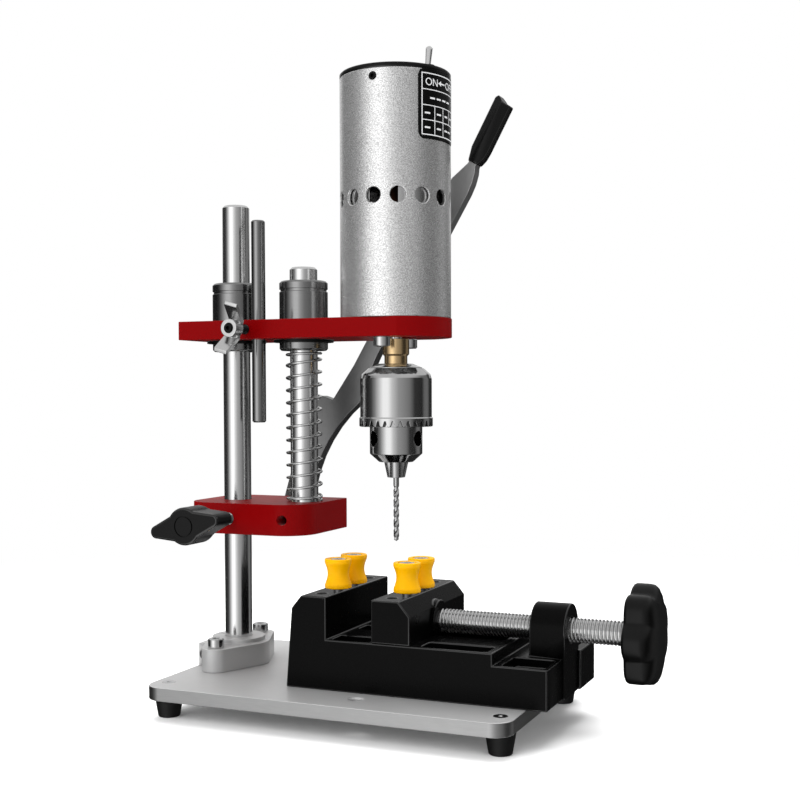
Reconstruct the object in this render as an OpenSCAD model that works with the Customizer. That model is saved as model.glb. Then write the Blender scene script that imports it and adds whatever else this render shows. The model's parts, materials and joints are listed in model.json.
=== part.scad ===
// Mini drill press: a small motor head that slides on a round column and a guide shaft,
// is pressed down by a side lever, and drills into work held in a cast vise on an aluminium base.
// Millimetres, +Z up, +X along the base towards the vise screw, +Y to the back.
// The origin is the centre of the base plate's underside.

/* [Base plate] */
// Length of the base plate
plate_l = 158; // [150:1:190]
// Width of the base plate
plate_w = 107; // [102:1:140]
// Thickness of the base plate
plate_t = 5.7; // [5:0.1:10]
// Corner radius of the base plate
plate_r = 8; // [2:0.5:12]
// Distance of each foot from the plate's short edges
foot_inset_x = 6.3; // [6.1:0.1:12]
// Distance of each foot from the plate's long edges
foot_inset_y = 11; // [7:0.5:20]
// Height of the rubber feet
foot_h = 8.5; // [5:0.5:16]
// Diameter of a foot where it meets the plate
foot_top_d = 12; // [10:0.5:12]
// Diameter of a foot where it stands
foot_floor_d = 9; // [7:0.5:12]
// Diameter of the accessory hole near the plate's front edge
accessory_d = 5.4; // [3:0.1:6.5]
// Distance of the accessory hole to the right of the plate's centre
accessory_x = 11.9; // [0:0.1:30]
// Distance of the accessory hole in front of the plate's centre
accessory_y = 39.3; // [36:0.1:42]

/* [Column and its flange] */
// Diameter of the column and of the guide shaft
shaft_d = 12; // [10:0.5:12]
// Length of the column
column_len = 203; // [190:1:240]
// Distance of the column's axis from the plate's left edge
column_inset = 13; // [13:0.5:16]
// Distance of the column behind the middle of the base plate
column_back = 3.5; // [0:0.5:6]
// Distance between the flange's two mounting screws
flange_pitch = 39; // [38:0.5:42]
// Radius of the flange's waist
flange_r = 14; // [12.5:0.5:15]
// Radius of each ear of the flange
flange_ear_r = 6.3; // [4.5:0.1:7]
// Height of the flange's ears
flange_h = 10; // [8:0.2:11]
// Diameter of the flange's raised boss
flange_boss_d = 23.5; // [18:0.5:25]
// Height of the raised boss above the plate
flange_boss_h = 12; // [11:0.5:14]

/* [Lower block] */
// Distance from the head plate's underside down to the block's underside, at the top of the
// stroke; the block, the guide shaft and the head slide on the column together
block_drop = 83.3; // [82:0.1:85]
// Thickness of the lower block
block_t = 13.2; // [13:0.2:18]
// Width of the lower block and of the head plate, front to back
block_w = 44; // [40:0.5:46]
// Distance from the column's axis to the block's left end
block_left = 14; // [12:0.5:18]
// Distance from the column's axis to the block's right end
block_right = 43.7; // [43:0.1:50]
// Corner radius of the block's front right corner
block_r = 14; // [2:1:16]
// Corner radius of the block's left end
block_left_r = 11; // [1:1:11]
// Distance between the column and the guide shaft
guide_reach = 33.5; // [31:0.5:36]
// Length of the guide shaft
guide_len = 114.6; // [111:0.2:130]
// Distance from the column's axis to the lock screw's axis
lock_reach = 8; // [7.6:0.1:9]
// Diameter of the lock screw
lock_screw_d = 5; // [4:0.5:6]
// Distance from the block's front face to the front of the lock knob
lock_knob_reach = 35; // [30:0.5:40]
// Distance between the centres of the lock knob's rounded wing tips
lock_knob_span = 27; // [24:0.5:34]
// Tilt of the lock knob's wings at rest
lock_knob_tilt = 12; // [-20:1:20]

/* [Head] */
// Height of the head plate's underside above the base plate at the top of the stroke
head_height = 143.3; // [142:0.2:146]
// Thickness of the head plate
head_t = 8; // [7:0.5:10]
// Distance from the column's axis to the head plate's left end
head_left = 16.2; // [14:0.2:20]
// Distance from the column's axis to the drill axis
spindle_reach = 77; // [76:0.5:82]
// Radius of the head plate's round end about the drill axis
head_end_r = 23.6; // [23.5:0.1:26]
// Length of the stroke of the head
stroke = 34; // [30:0.5:34]
// Outer diameter of the linear bearings
bearing_d = 21; // [19:0.5:22]
// Length of the linear bearings
bearing_l = 30; // [28:0.5:31]
// Length of bearing that shows below the head plate
bearing_drop = 4.7; // [3.5:0.1:6]
// Distance from a bearing's end to its nearer groove
groove_inset = 3.5; // [3:0.1:4.5]
// Diameter of the depth rod
rod_d = 6; // [5:0.5:7]
// Length of the depth rod
rod_len = 87; // [80:1:100]
// Distance from the column's axis to the depth rod, along the head plate
rod_reach = 16.8; // [16.4:0.1:17.4]
// Distance of the depth rod in front of the column's axis
rod_front = 10; // [8:0.5:12]
// Height of the depth rod's lower end above the lower block at the top of the stroke
rod_clear = 34.4; // [34.2:0.1:38]
// Distance from the head plate's front face to the front of the wing nut's hub
wing_reach = 13.4; // [12:0.2:22]
// Distance across the tips of the wing nut
wing_span = 21.5; // [18:0.5:24]
// Tilt of the wing nut from upright at rest
wing_tilt = 15; // [-30:1:30]

/* [Return spring] */
// Outer diameter of the return spring
spring_d = 15.9; // [15.2:0.1:17]
// Diameter of the spring wire
spring_wire = 1.15; // [0.8:0.05:1.3]
// Number of turns of the return spring
spring_turns = 13.4; // [10:0.2:16]

/* [Lever] */
// Thickness of the lever plate
lever_t = 6; // [5:0.5:7]
// Gap between the lower block's back face and the lever
lever_gap = 2.6; // [2.2:0.1:3.5]
// Distance from the column's axis to the lever's pivot
pivot_reach = 17; // [16.5:0.5:18]
// Diameter of the lever's pivot
pivot_d = 6; // [5:0.5:7]
// Angle that the lever turns over the full stroke
lever_turn = 14.2; // [13.8:0.1:14.6]
// Diameter of the roller that the lever pushes
roller_d = 8; // [6:0.5:8]
// Distance from the column's axis to the roller
roller_reach = 69.9; // [69.5:0.1:71.5]
// Width of the lever's arm
arm_w = 9.9; // [9:0.1:11]
// Slope of the lever's arm at rest
arm_slope = 59.6; // [58.5:0.1:60.5]
// Length of the lever's straight arm above the roller
arm_l = 63; // [55:0.5:75]
// Slope of the grip at rest
grip_slope = 61.7; // [55:0.1:68]
// Length of the grip
grip_l = 30; // [24:0.5:36]
// Width of the grip
grip_w = 8.4; // [8:0.1:10]
// Thickness of the black grip
grip_t = 8.2; // [8:0.2:10]

/* [Motor] */
// Outer diameter of the motor housing
housing_d = 46.5; // [46:0.5:50]
// Wall thickness of the motor housing
housing_wall = 1.4; // [1:0.1:1.5]
// Height of the motor housing's tube
housing_h = 99.3; // [92:0.5:110]
// Thickness of the black top cap
cap_t = 2; // [1.5:0.1:3]
// Number of vent holes in the motor housing
vents = 14; // [8:1:16]
// Diameter of a vent hole
vent_d = 6.5; // [4:0.5:7]
// Height of the vent holes above the head plate
vent_height = 48.7; // [40:0.5:60]
// Distance from the drill axis to the toggle switch
switch_reach = 14.5; // [12:0.5:15]
// Lean of the switch lever to either side
switch_lean = 12; // [8:1:14]

/* [Chuck and drill] */
// Distance from the head plate's underside down to the chuck's top face
chuck_drop = 10.8; // [9.3:0.1:12.3]
// Outer diameter of the chuck's toothed sleeve
sleeve_d = 31; // [29:0.5:32]
// Length of the sleeve, from its rim to its shoulder
sleeve_l = 22; // [21.5:0.5:23]
// Number of teeth on the sleeve's rim
sleeve_teeth = 30; // [20:1:40]
// Diameter of the chuck's body below the sleeve
chuck_d = 22.2; // [21.6:0.1:23]
// Diameter of each hole for the chuck key
key_hole_d = 6.4; // [5:0.2:6.6]
// Lean of the chuck's jaws from upright
jaw_lean = 14; // [12:0.5:14.5]
// Diameter of the drill bit
bit_d = 2.4; // [1.5:0.1:3]
// Length of the drill bit below the chuck's jaws
bit_reach = 27; // [20:1:32]

/* [Vise] */
// Distance from the column's axis to the vise's left face
vise_reach = 42.6; // [42:0.2:48]
// Length of the vise body
vise_l = 110.8; // [104:1:116]
// Width of the vise
vise_w = 63; // [56:1:70]
// Height of the vise's bed
bed_h = 20.7; // [18:0.2:22]
// Height of the jaws
jaw_h = 38; // [37:0.2:40]
// Length of the fixed jaw at its foot
fixed_jaw_l = 18.3; // [16:0.5:20]
// Length of the moving jaw
moving_jaw_l = 16.6; // [15:0.2:18]
// Gap between the jaws at rest
throat = 19.9; // [19.7:0.1:22]
// Height of the lead screw's axis
screw_height = 25.9; // [25.5:0.1:27.5]
// Outer diameter of the lead screw's thread
screw_d = 10; // [8:0.5:10]
// Pitch of the lead screw's thread
screw_pitch = 1.5; // [1:0.25:2]
// Outer radius of the arch that carries the lead screw
arch_r = 10.5; // [9:0.1:11]
// Length of the arch along the lead screw
arch_l = 14.6; // [12:0.2:18]
// Outer diameter of the star knob
star_d = 40.5; // [34:0.5:44]
// Number of lobes on the star knob
star_lobes = 7; // [5:1:8]
// Thickness of the star knob
star_t = 12.5; // [11:0.5:18]
// Gap between the arch and the star knob at rest
star_gap = 24.1; // [22.2:0.1:30]
// Diameter of the yellow posts at their ends
post_d = 11.4; // [10:0.2:11.6]
// Diameter of the yellow posts at their waist
post_waist_d = 9; // [7:0.2:10]
// Height of the yellow posts
post_h = 12.5; // [8:0.5:14]
// Distance between two posts on a jaw
post_pitch = 15.6; // [14:0.2:24]

/* [Hidden] */
$fn = 72;

// Radial gap of a shaft that turns or slides in its hole
run_gap = 0.05;
// Gap between flat faces that move past each other
face_gap = 0.1;
// Extra length of a cutting shape past the face that it cuts
cut = 1;
// Number of points that draw the cam edge of the lever
cam_steps = 14;
// Travel that the cam edge runs on past each end of the stroke
cam_margin = 2;
// Distance from the vise's end to the moving jaw's bed step
step_l = 21.7;
// Depth of the step at the vise's right end below the bed
step_drop = 4.7;

// Derived heights and places
top_z = plate_t;
column_x = column_inset - plate_l / 2;
guide_x = column_x + guide_reach;
spindle_x = column_x + spindle_reach;
rod_x = column_x + rod_reach;
head_z = top_z + head_height;
block_z = head_z - block_drop;
block_top = block_z + block_t;
block_mid = block_z + block_t / 2;
block_back = block_w / 2;
head_top = head_z + head_t;
head_mid = head_z + head_t / 2;
bearing_z = head_z - bearing_drop;
housing_top = head_top + housing_h;
cap_top = housing_top + cap_t;
lever_y = block_back + lever_gap;
lever_mid_y = lever_y + lever_t / 2;
pivot_x = column_x + pivot_reach;
roller_x = column_x + roller_reach;
vise_x = column_x + vise_reach;
vise_right = vise_x + vise_l;
vise_y = 0;
bed_z = top_z + bed_h;
jaw_z = top_z + jaw_h;
fixed_face = vise_x + fixed_jaw_l;
moving_face = fixed_face + throat;
moving_back = moving_face + moving_jaw_l;
screw_z = top_z + screw_height;
chuck_z = head_z - chuck_drop;

// Sizes of the screws used in several places: thread, head diameter, head height
m4 = 4;
m4_head_d = 7;
m4_head_h = 4;
m3 = 3;

// A box given by its lowest corner and its highest corner
module box(low, high) {
    translate(low) cube(high - low);
}

// A round bar or ring cut from a half outline of radius and height pairs
module turned(outline) {
    rotate_extrude() polygon(outline);
}

// A straight round shaft with a chamfer on both ends, standing on the origin
module shaft(d, len, chamfer = 0.8) {
    turned([[0, 0], [d / 2 - chamfer, 0], [d / 2, chamfer], [d / 2, len - chamfer],
        [d / 2 - chamfer, len], [0, len]]);
}

// A cap screw whose head stands on the origin and whose shank hangs below
module cap_screw(d, head_d, head_h, len) {
    difference() {
        turned([[0, -len], [d / 2 - 0.3, -len], [d / 2, 0.3 - len], [d / 2, 0], [head_d / 2, 0],
            [head_d / 2, head_h - 0.5], [head_d / 2 - 0.5, head_h], [0, head_h]]);
        translate([0, 0, head_h * 0.45]) cylinder(d = d * 0.85, h = head_h, $fn = 6);
    }
}

// A countersunk screw whose flat top lies on the origin
module flush_screw(d, head_d, len) {
    difference() {
        turned([[0, -len], [d / 2, -len], [d / 2, (d - head_d) / 2 - 0.2],
            [head_d / 2, -0.2], [head_d / 2, 0], [0, 0]]);
        translate([0, 0, -d * 0.4]) cylinder(d = d * 0.65, h = d, $fn = 6);
    }
}

// The waste around one rounded corner of a plate, to be cut away
module corner_waste(x, y, dir_x, dir_y, r, z0, z1) {
    translate([x, y, z0 - cut]) facing(dir_x, dir_y) difference() {
        translate([-cut, -cut, 0]) cube([r + cut, r + cut, z1 - z0 + 2 * cut]);
        translate([r, r, -cut]) cylinder(r = r, h = z1 - z0 + 4 * cut);
    }
}

// Mirrors its children so that they face into the plate from any corner
module facing(dir_x, dir_y) {
    mirror([dir_x < 0 ? 1 : 0, 0, 0]) mirror([0, dir_y < 0 ? 1 : 0, 0]) children();
}

// A plate with its own radius on each corner: front left, front right, back right, back left
module corner_plate(x0, x1, y0, y1, z0, z1, radii) {
    difference() {
        box([x0, y0, z0], [x1, y1, z1]);
        corner_waste(x0, y0, 1, 1, radii[0], z0, z1);
        corner_waste(x1, y0, -1, 1, radii[1], z0, z1);
        corner_waste(x1, y1, -1, -1, radii[2], z0, z1);
        corner_waste(x0, y1, 1, -1, radii[3], z0, z1);
    }
}

// How far the straight sides of a tapered link lie inside the true tangent
side_bite = 0.03;

// A plate with two round ends of different size and straight sides between them
module tapered_link(r0, r1, gap, h) {
    lean = acos((r0 - r1) / gap);
    big = r0 - side_bite;
    small = r1 - side_bite;
    cylinder(r = r0, h = h);
    translate([gap, 0, 0]) cylinder(r = r1, h = h);
    linear_extrude(h) polygon([[big * cos(lean), big * sin(lean)],
        [gap + small * cos(lean), small * sin(lean)],
        [gap + small * cos(lean), -small * sin(lean)], [big * cos(lean), -big * sin(lean)]]);
}

// Copies its children onto the four feet
module at_feet() {
    for (sx = [-1, 1], sy = [-1, 1])
        translate([sx * (plate_l / 2 - foot_inset_x), sy * (plate_w / 2 - foot_inset_y), 0])
            children();
}

// Copies its children onto the two flange screws
module at_flange_screws() {
    for (s = [-1, 1]) translate([column_x, s * flange_pitch / 2, top_z]) children();
}

// Moves its children, drawn about the column's line, back from the middle of the plate
module on_column_line() {
    translate([0, column_back, 0]) children();
}

// Lays its children, which point up, down along an axis that runs to the front
module pointing_front() {
    rotate([90, 0, 0]) children();
}

// Lays its children, which point up, down along an axis that runs to the back
module pointing_back() {
    rotate([-90, 0, 0]) children();
}

// Lays its children, which point up, down along an axis that runs to the right
module pointing_right() {
    rotate([0, 90, 0]) children();
}

foot_head_d = 5.6;
foot_screw_l = plate_t + foot_h - 3;

module base_plate() {
    color("silver") difference() {
        corner_plate(-plate_l / 2, plate_l / 2, -plate_w / 2, plate_w / 2, 0, plate_t,
            [plate_r, plate_r, plate_r, plate_r]);
        at_feet() {
            translate([0, 0, -cut]) cylinder(d = m3 + 2 * run_gap, h = plate_t + 2 * cut);
            translate([0, 0, plate_t - 1.6])
                cylinder(d1 = m3, d2 = foot_head_d + 0.6, h = 1.61);
        }
        on_column_line() at_flange_screws() translate([0, 0, -plate_t - cut])
            cylinder(d = m4 + 2 * run_gap, h = plate_t + 2 * cut);
        at_vise_bolts() translate([0, 0, -cut])
            cylinder(d = vise_bolt_d + 2 * run_gap, h = plate_t + 2 * cut);
        translate([accessory_x, -accessory_y, -cut])
            cylinder(d = accessory_d, h = plate_t + 2 * cut);
        translate([accessory_x, -accessory_y, plate_t - 1])
            cylinder(d1 = accessory_d, d2 = accessory_d + 2.02, h = 1.01);
    }
}

module feet() {
    color("#1a1a1a") at_feet() difference() {
        turned([[0, -foot_h], [foot_floor_d / 2, -foot_h], [foot_top_d / 2, 0], [0, 0]]);
        translate([0, 0, plate_t - foot_screw_l - cut])
            cylinder(d = m3 + 2 * run_gap, h = foot_screw_l + cut);
    }
}

module foot_screws() {
    color("gainsboro") at_feet() translate([0, 0, plate_t])
        flush_screw(m3, foot_head_d, foot_screw_l);
}

flange_slit = 1.2;
clamp_screw_z = flange_h / 2;
flange_lug_x = 12.5;
flange_lug_l = 27.6;
flange_clamp_x = shaft_d / 2 + m3 / 2 + 1.6;
m3_head_d = 5.5;

module column_flange() {
    color("#c9ccce") on_column_line() difference() {
        union() {
            translate([column_x, 0, top_z]) {
                for (turn = [90, -90]) rotate([0, 0, turn])
                    tapered_link(flange_r, flange_ear_r, flange_pitch / 2, flange_h);
                cylinder(d = flange_boss_d, h = flange_boss_h);
                // The lug that the clamp screw runs through
                box([-flange_lug_x, -flange_lug_l / 2, 0], [0, flange_lug_l / 2, flange_h]);
            }
        }
        translate([column_x, 0, top_z - cut])
            cylinder(d = shaft_d + 2 * run_gap, h = flange_boss_h + 2 * cut);
        at_flange_screws() translate([0, 0, -cut])
            cylinder(d = m4 + 2 * run_gap, h = flange_h + 2 * cut);
        // The slit that lets the clamp screw close the bore
        translate([column_x, 0, top_z - cut])
            box([-flange_r - cut, -flange_slit / 2, 0],
                [-shaft_d / 2 + 0.5, flange_slit / 2, flange_boss_h + 2 * cut]);
        // The clamp screw's hole, with its head sunk into the lug's front face
        translate([column_x - flange_clamp_x, flange_lug_l / 2 - 3, top_z + clamp_screw_z])
            pointing_front() cylinder(d = m3 + 2 * run_gap, h = flange_lug_l);
        translate([column_x - flange_clamp_x, -clamp_head_y, top_z + clamp_screw_z])
            pointing_front() cylinder(d = m3_head_d + 2 * run_gap, h = flange_lug_l);
    }
}

module flange_screws() {
    color("gainsboro") on_column_line() at_flange_screws() translate([0, 0, flange_h])
        cap_screw(m4, m4_head_d, m4_head_h, flange_h + plate_t - 0.5);
}

clamp_head_y = flange_lug_l / 2 - m3 - 0.6;

module flange_clamp_screw() {
    color("#3a3a3a") on_column_line() translate([column_x - flange_clamp_x, -clamp_head_y,
        top_z + clamp_screw_z]) pointing_front() cap_screw(m3, m3_head_d, m3,
            clamp_head_y + flange_lug_l / 2 - 4);
}

module column() {
    color("gainsboro") on_column_line() translate([column_x, 0, top_z])
        shaft(shaft_d, column_len, 1);
}

// The vise: a casting with a fixed jaw, a bed, a step and an arch that carries the lead screw
vise_bolt_d = 5;
cavity_h = 13.5;
slot_w = 10;
slot_left = fixed_face + 2;
slot_right = vise_right - step_l - 4;
vise_bolt_x = [vise_x + 8, vise_right - 17.2];
jaw_chamfer = [4.4, 5.3];
jaw_draft = 2.6;
moving_chamfer = [4.9, 5.8];
arch_out = 0.9;
rear_out = 2.2;
arch_left = vise_right + arch_out - arch_l;
pocket_rim = 1.8;

module at_vise_bolts() {
    for (x = vise_bolt_x) translate([x, vise_y, 0]) children();
}

// The fixed jaw's side outline, with its leaning left face and its chamfer
module fixed_jaw_block() {
    translate([0, vise_y + vise_w / 2, 0]) pointing_front() linear_extrude(vise_w)
        polygon([[vise_x, top_z], [fixed_face, top_z], [fixed_face, jaw_z],
            [vise_x + jaw_draft + jaw_chamfer[0], jaw_z],
            [vise_x + jaw_draft, jaw_z - jaw_chamfer[1]]]);
}

// A flat pocket with rounded ends, cut into the bed from above
module pocket(x0, x1, y0, y1, floor_z, top) {
    corner_plate(x0, x1, y0, y1, floor_z, top + cut, [2, 2, 2, 2]);
}

module vise_body() {
    step_z = bed_z - step_drop;
    step_x = vise_right - step_l;
    front = vise_y - vise_w / 2;
    back = vise_y + vise_w / 2;
    color("#141414") difference() {
        union() {
            fixed_jaw_block();
            box([fixed_face - 1, front, top_z], [step_x, back, bed_z]);
            box([step_x - 1, front, top_z], [vise_right, back, step_z]);
            // The rear corner reaches a little farther than the front one
            box([step_x - 1, vise_y + arch_r - 1, top_z],
                [vise_right + rear_out, back, step_z]);
            // The arch and the rib below it
            translate([arch_left, vise_y, screw_z]) pointing_right()
                cylinder(r = arch_r, h = arch_l);
            box([arch_left, vise_y - arch_r, top_z],
                [vise_right + arch_out, vise_y + arch_r, screw_z]);
        }
        // The hollow underneath that the jaw's keeper runs in
        box([slot_left - 3, vise_y - 17, top_z - cut], [slot_right + 3, vise_y + 17,
            top_z + cavity_h]);
        // The slot that guides the moving jaw
        pocket(slot_left, slot_right, vise_y - slot_w / 2, vise_y + slot_w / 2,
            top_z + cavity_h - 1, bed_z);
        // Relief pockets along the front and the back rail of the bed, and in the step
        for (side = [-1, 1]) {
            y0 = side < 0 ? front + pocket_rim : vise_y + 19;
            y1 = side < 0 ? vise_y - 19 : back - pocket_rim;
            pocket(fixed_face + 1.5, moving_face - 2.5, y0, y1, bed_z - 3.5, bed_z);
            pocket(moving_back + 4, step_x - 3, y0, y1, bed_z - 3.5, bed_z);
        }
        pocket(step_x + 3, vise_right - 1.8, front + pocket_rim, vise_y - arch_r - 2,
            step_z - 4, step_z);
        pocket(step_x + 3, vise_right - 1.8, vise_y + arch_r + 2, back - pocket_rim,
            step_z - 4, step_z);
        // The bore of the arch
        translate([arch_left - cut, vise_y, screw_z]) pointing_right()
            cylinder(d = screw_d + 2 * run_gap, h = arch_l + 2 * cut);
        // Tapped holes for the bolts from below
        at_vise_bolts() translate([0, 0, top_z - cut])
            cylinder(d = vise_bolt_d + 2 * run_gap, h = vise_bolt_depth + cut);
        // Holes for the posts' screws and spare holes in front of and behind them
        at_posts(fixed_post_x, [-1.5, -0.5, 0.5, 1.5]) translate([0, 0, -post_screw_depth - 1])
            cylinder(d = m4 + 2 * run_gap, h = post_screw_depth + 1 + cut);
    }
}

vise_bolt_depth = 11;
vise_bolt_head = 3;

module vise_bolts() {
    color("gray") at_vise_bolts() mirror([0, 0, 1]) cap_screw(vise_bolt_d, 8.5,
        vise_bolt_head, plate_t + vise_bolt_depth - 1);
}

// Places along a jaw's top, counted in post pitches from the jaw's middle
module at_posts(x, steps) {
    for (step = steps) translate([x, vise_y + step * post_pitch, jaw_z]) children();
}

fixed_post_x = fixed_face - 5.8;
moving_post_x = moving_face + 5.8;
post_screw_depth = 8;
post_pair = [-0.5, 0.5];

module post() {
    waist = (post_d - post_waist_d) / 2;
    band = 1.6;
    arc = [for (i = [0:8]) [post_d / 2 - waist * sin(i * 22.5),
        band + (post_h - 2 * band) * i / 8]];
    difference() {
        turned(concat([[0, 0], [post_d / 2, 0]], arc, [[post_d / 2, post_h], [0, post_h]]));
        translate([0, 0, -cut]) cylinder(d = m4 + 2 * run_gap, h = post_h + 2 * cut);
        translate([0, 0, post_h - m4_head_h - 0.2]) cylinder(d = m4_head_d + 0.4, h = post_h);
    }
}

module post_screw() {
    translate([0, 0, post_h - m4_head_h - 0.2])
        cap_screw(m4, m4_head_d, m4_head_h, post_h - m4_head_h - 0.2 + post_screw_depth);
}

module fixed_posts() {
    color("#f7b500") at_posts(fixed_post_x, post_pair) post();
}

module fixed_post_screws() {
    color("gainsboro") at_posts(fixed_post_x, post_pair) post_screw();
}

journal_d = 7;
journal_l = 11;
pin_d = 3;
neck_depth = 1.2;
neck_w = pin_d + 0.3;
neck_x = moving_back + 1 - journal_l + 3;
jaw_boss_r = 8.5;
jaw_boss_out = 1;
tongue_w = slot_w - 2 * face_gap;
tongue_drop = bed_z - top_z - cavity_h;
keeper_t = 3;
keeper_w = 20;

module moving_jaw() {
    front = vise_y - vise_w / 2;
    color("#141414") difference() {
        union() {
            translate([0, vise_y + vise_w / 2, 0]) pointing_front() linear_extrude(vise_w)
                polygon([[moving_face, bed_z + face_gap], [moving_back, bed_z + face_gap],
                    [moving_back, jaw_z - moving_chamfer[1]],
                    [moving_back - moving_chamfer[0], jaw_z], [moving_face, jaw_z]]);
            translate([moving_back - 8, vise_y, screw_z]) pointing_right()
                intersection() {
                    cylinder(r = jaw_boss_r, h = 8 + jaw_boss_out);
                    translate([-jaw_boss_r, -jaw_boss_r, 0])
                        cube([jaw_boss_r + screw_z - bed_z - face_gap, 2 * jaw_boss_r,
                            8 + jaw_boss_out]);
                }
            // The tongue that runs in the bed's slot, with the slot's own end rounding
            corner_plate(moving_face + 2, moving_back - 2, vise_y - tongue_w / 2,
                vise_y + tongue_w / 2, bed_z - tongue_drop - face_gap, bed_z + 1, [2, 2, 2, 2]);
        }
        translate([moving_back + jaw_boss_out - journal_l, vise_y, screw_z]) pointing_right()
            cylinder(d = journal_d + 2 * run_gap, h = journal_l + cut);
        at_retaining_pins() translate([0, 0, bed_z]) cylinder(d = pin_d, h = jaw_h);
        at_posts(moving_post_x, [-1.5, -0.5, 0.5, 1.5]) translate([0, 0, -post_screw_depth - 1])
            cylinder(d = m4 + 2 * run_gap, h = post_screw_depth + 1 + cut);
        translate([keeper_x, vise_y, bed_z - tongue_drop - 2 * face_gap])
            cylinder(d = m4 + 2 * run_gap, h = 9);
    }
}

keeper_x = moving_face + 6;

// Two upright pins that sit in the journal's neck and hold the screw in the jaw
module at_retaining_pins() {
    for (s = [-1, 1])
        translate([neck_x, vise_y + s * (journal_d / 2 - neck_depth + pin_d / 2 + run_gap), 0])
            children();
}

module retaining_pins() {
    low = bed_z + 2 * face_gap;
    color("gray") at_retaining_pins() translate([0, 0, low])
        cylinder(d = pin_d, h = jaw_z - 2 - low);
}

module moving_posts() {
    color("#f7b500") at_posts(moving_post_x, post_pair) post();
}

module moving_post_screws() {
    color("gainsboro") at_posts(moving_post_x, post_pair) post_screw();
}

keeper_top = top_z + cavity_h - face_gap;

module jaw_keeper() {
    color("gray") difference() {
        box([moving_face + 1, vise_y - keeper_w / 2, keeper_top - keeper_t],
            [moving_back - 1, vise_y + keeper_w / 2, keeper_top]);
        translate([keeper_x, vise_y, keeper_top - keeper_t - cut])
            cylinder(d = m4 + 2 * run_gap, h = keeper_t + 2 * cut);
    }
}

module keeper_screw() {
    color("gainsboro") translate([keeper_x, vise_y, keeper_top - keeper_t]) mirror([0, 0, 1])
        cap_screw(m4, m4_head_d, 2.6, keeper_t + 7);
}

// The lead screw: a thread drawn as ridges one pitch apart, a journal with a neck, and a seat
// inside the star knob
thread_start = moving_back + jaw_boss_out + face_gap;
star_x = vise_right + arch_out + star_gap;
star_seat = 8;
thread_depth = 0.55 * screw_pitch;

module lead_screw() {
    ridges = floor((star_x - thread_start - screw_pitch) / screw_pitch);
    root = screw_d / 2 - thread_depth;
    r = screw_d / 2;
    p = screw_pitch;
    thread = [for (i = [0:ridges - 1]) each [[root, i * p], [r, (i + 0.4) * p],
        [r, (i + 0.6) * p]]];
    end = star_x - thread_start;
    color("gainsboro") translate([thread_start, vise_y, screw_z]) pointing_right()
        turned(concat([[0, -journal_l + face_gap + 0.4], [journal_d / 2, -journal_l + face_gap
            + 0.4], [journal_d / 2, neck_x - neck_w / 2 - thread_start],
            [journal_d / 2 - neck_depth, neck_x - neck_w / 2 - thread_start],
            [journal_d / 2 - neck_depth, neck_x + neck_w / 2 - thread_start],
            [journal_d / 2, neck_x + neck_w / 2 - thread_start], [journal_d / 2, 0]],
            thread, [[root, ridges * p], [root, end], [r - 1, end], [r - 1, end + star_seat],
            [0, end + star_seat]]));
}

// The star knob: round lobes around a dished body with a domed outer face
module star_knob() {
    lobe_r = 5.2;
    lobe_pitch_r = star_d / 2 - lobe_r;
    body_r = star_d / 2 - 2.2;
    color("#161616") translate([star_x, vise_y, screw_z]) pointing_right() difference() {
        union() {
            intersection() {
                union() {
                    cylinder(r = body_r - 1.6, h = star_t);
                    for (i = [0:star_lobes - 1]) rotate([0, 0, 12 + i * 360 / star_lobes])
                        translate([lobe_pitch_r, 0, 0]) cylinder(r = lobe_r, h = star_t);
                }
                turned([[0, 0], [star_d / 2 - 1, 0], [star_d / 2, 1],
                    [star_d / 2, star_t - 4.6], [star_d / 2 - 1.4, star_t - 3],
                    [star_d / 2 - 5, star_t - 1.8], [star_d / 2 - 11, star_t - 0.5],
                    [0, star_t]]);
            }
        }
        translate([0, 0, -cut]) cylinder(r = screw_d / 2 - 1 + run_gap, h = star_seat + cut + 0.3);
    }
}

// The lower block with its lock
pad_d = 10;
pad_l = 10;
pad_y = -7.5;
lock_x = column_x + lock_reach;
set_screw_l = 6;

module lower_block() {
    x0 = column_x - block_left;
    x1 = column_x + block_right;
    color("#a30d12") on_column_line() difference() {
        corner_plate(x0, x1, -block_back, block_back, block_z, block_top,
            [block_left_r, block_r, 1, block_left_r]);
        translate([column_x, 0, block_z - cut])
            cylinder(d = shaft_d + 2 * run_gap, h = block_t + 2 * cut);
        translate([guide_x, 0, block_z - cut])
            cylinder(d = shaft_d + run_gap, h = block_t + 2 * cut);
        translate([lock_x, pad_y + cut, block_mid]) pointing_front()
            cylinder(d = lock_screw_d + 2 * run_gap, h = block_back + cut);
        translate([lock_x, pad_y, block_mid]) pointing_back()
            cylinder(d = pad_d + 2 * run_gap, h = block_back - pad_y + cut);
        translate([guide_x, 0, block_mid]) pointing_front()
            cylinder(d = m4 + 2 * run_gap, h = block_back + cut);
        translate([pivot_x, block_back - pivot_thread_l - 1, block_mid]) pointing_back()
            cylinder(d = m4 + 2 * run_gap, h = pivot_thread_l + 1 + cut);
    }
}

module lock_pad() {
    color("#b5892e") on_column_line() difference() {
        translate([lock_x, pad_y, block_mid]) pointing_back() cylinder(d = pad_d, h = pad_l);
        translate([column_x, 0, block_z - cut])
            cylinder(d = shaft_d + 4 * run_gap, h = block_t + 2 * cut);
    }
}

lock_screw_inner = -pad_y + 0.2;

module lock_screw() {
    color("silver") on_column_line() translate([lock_x, -lock_screw_inner, block_mid])
        pointing_front() shaft(lock_screw_d, block_back + lock_knob_reach - 3 - lock_screw_inner, 0.4);
}

knob_wing_t = 12;
knob_hub_d = 15.4;
knob_tip_r = 2.7;
knob_neck_d = 9;
knob_neck_l = 9;

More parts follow.
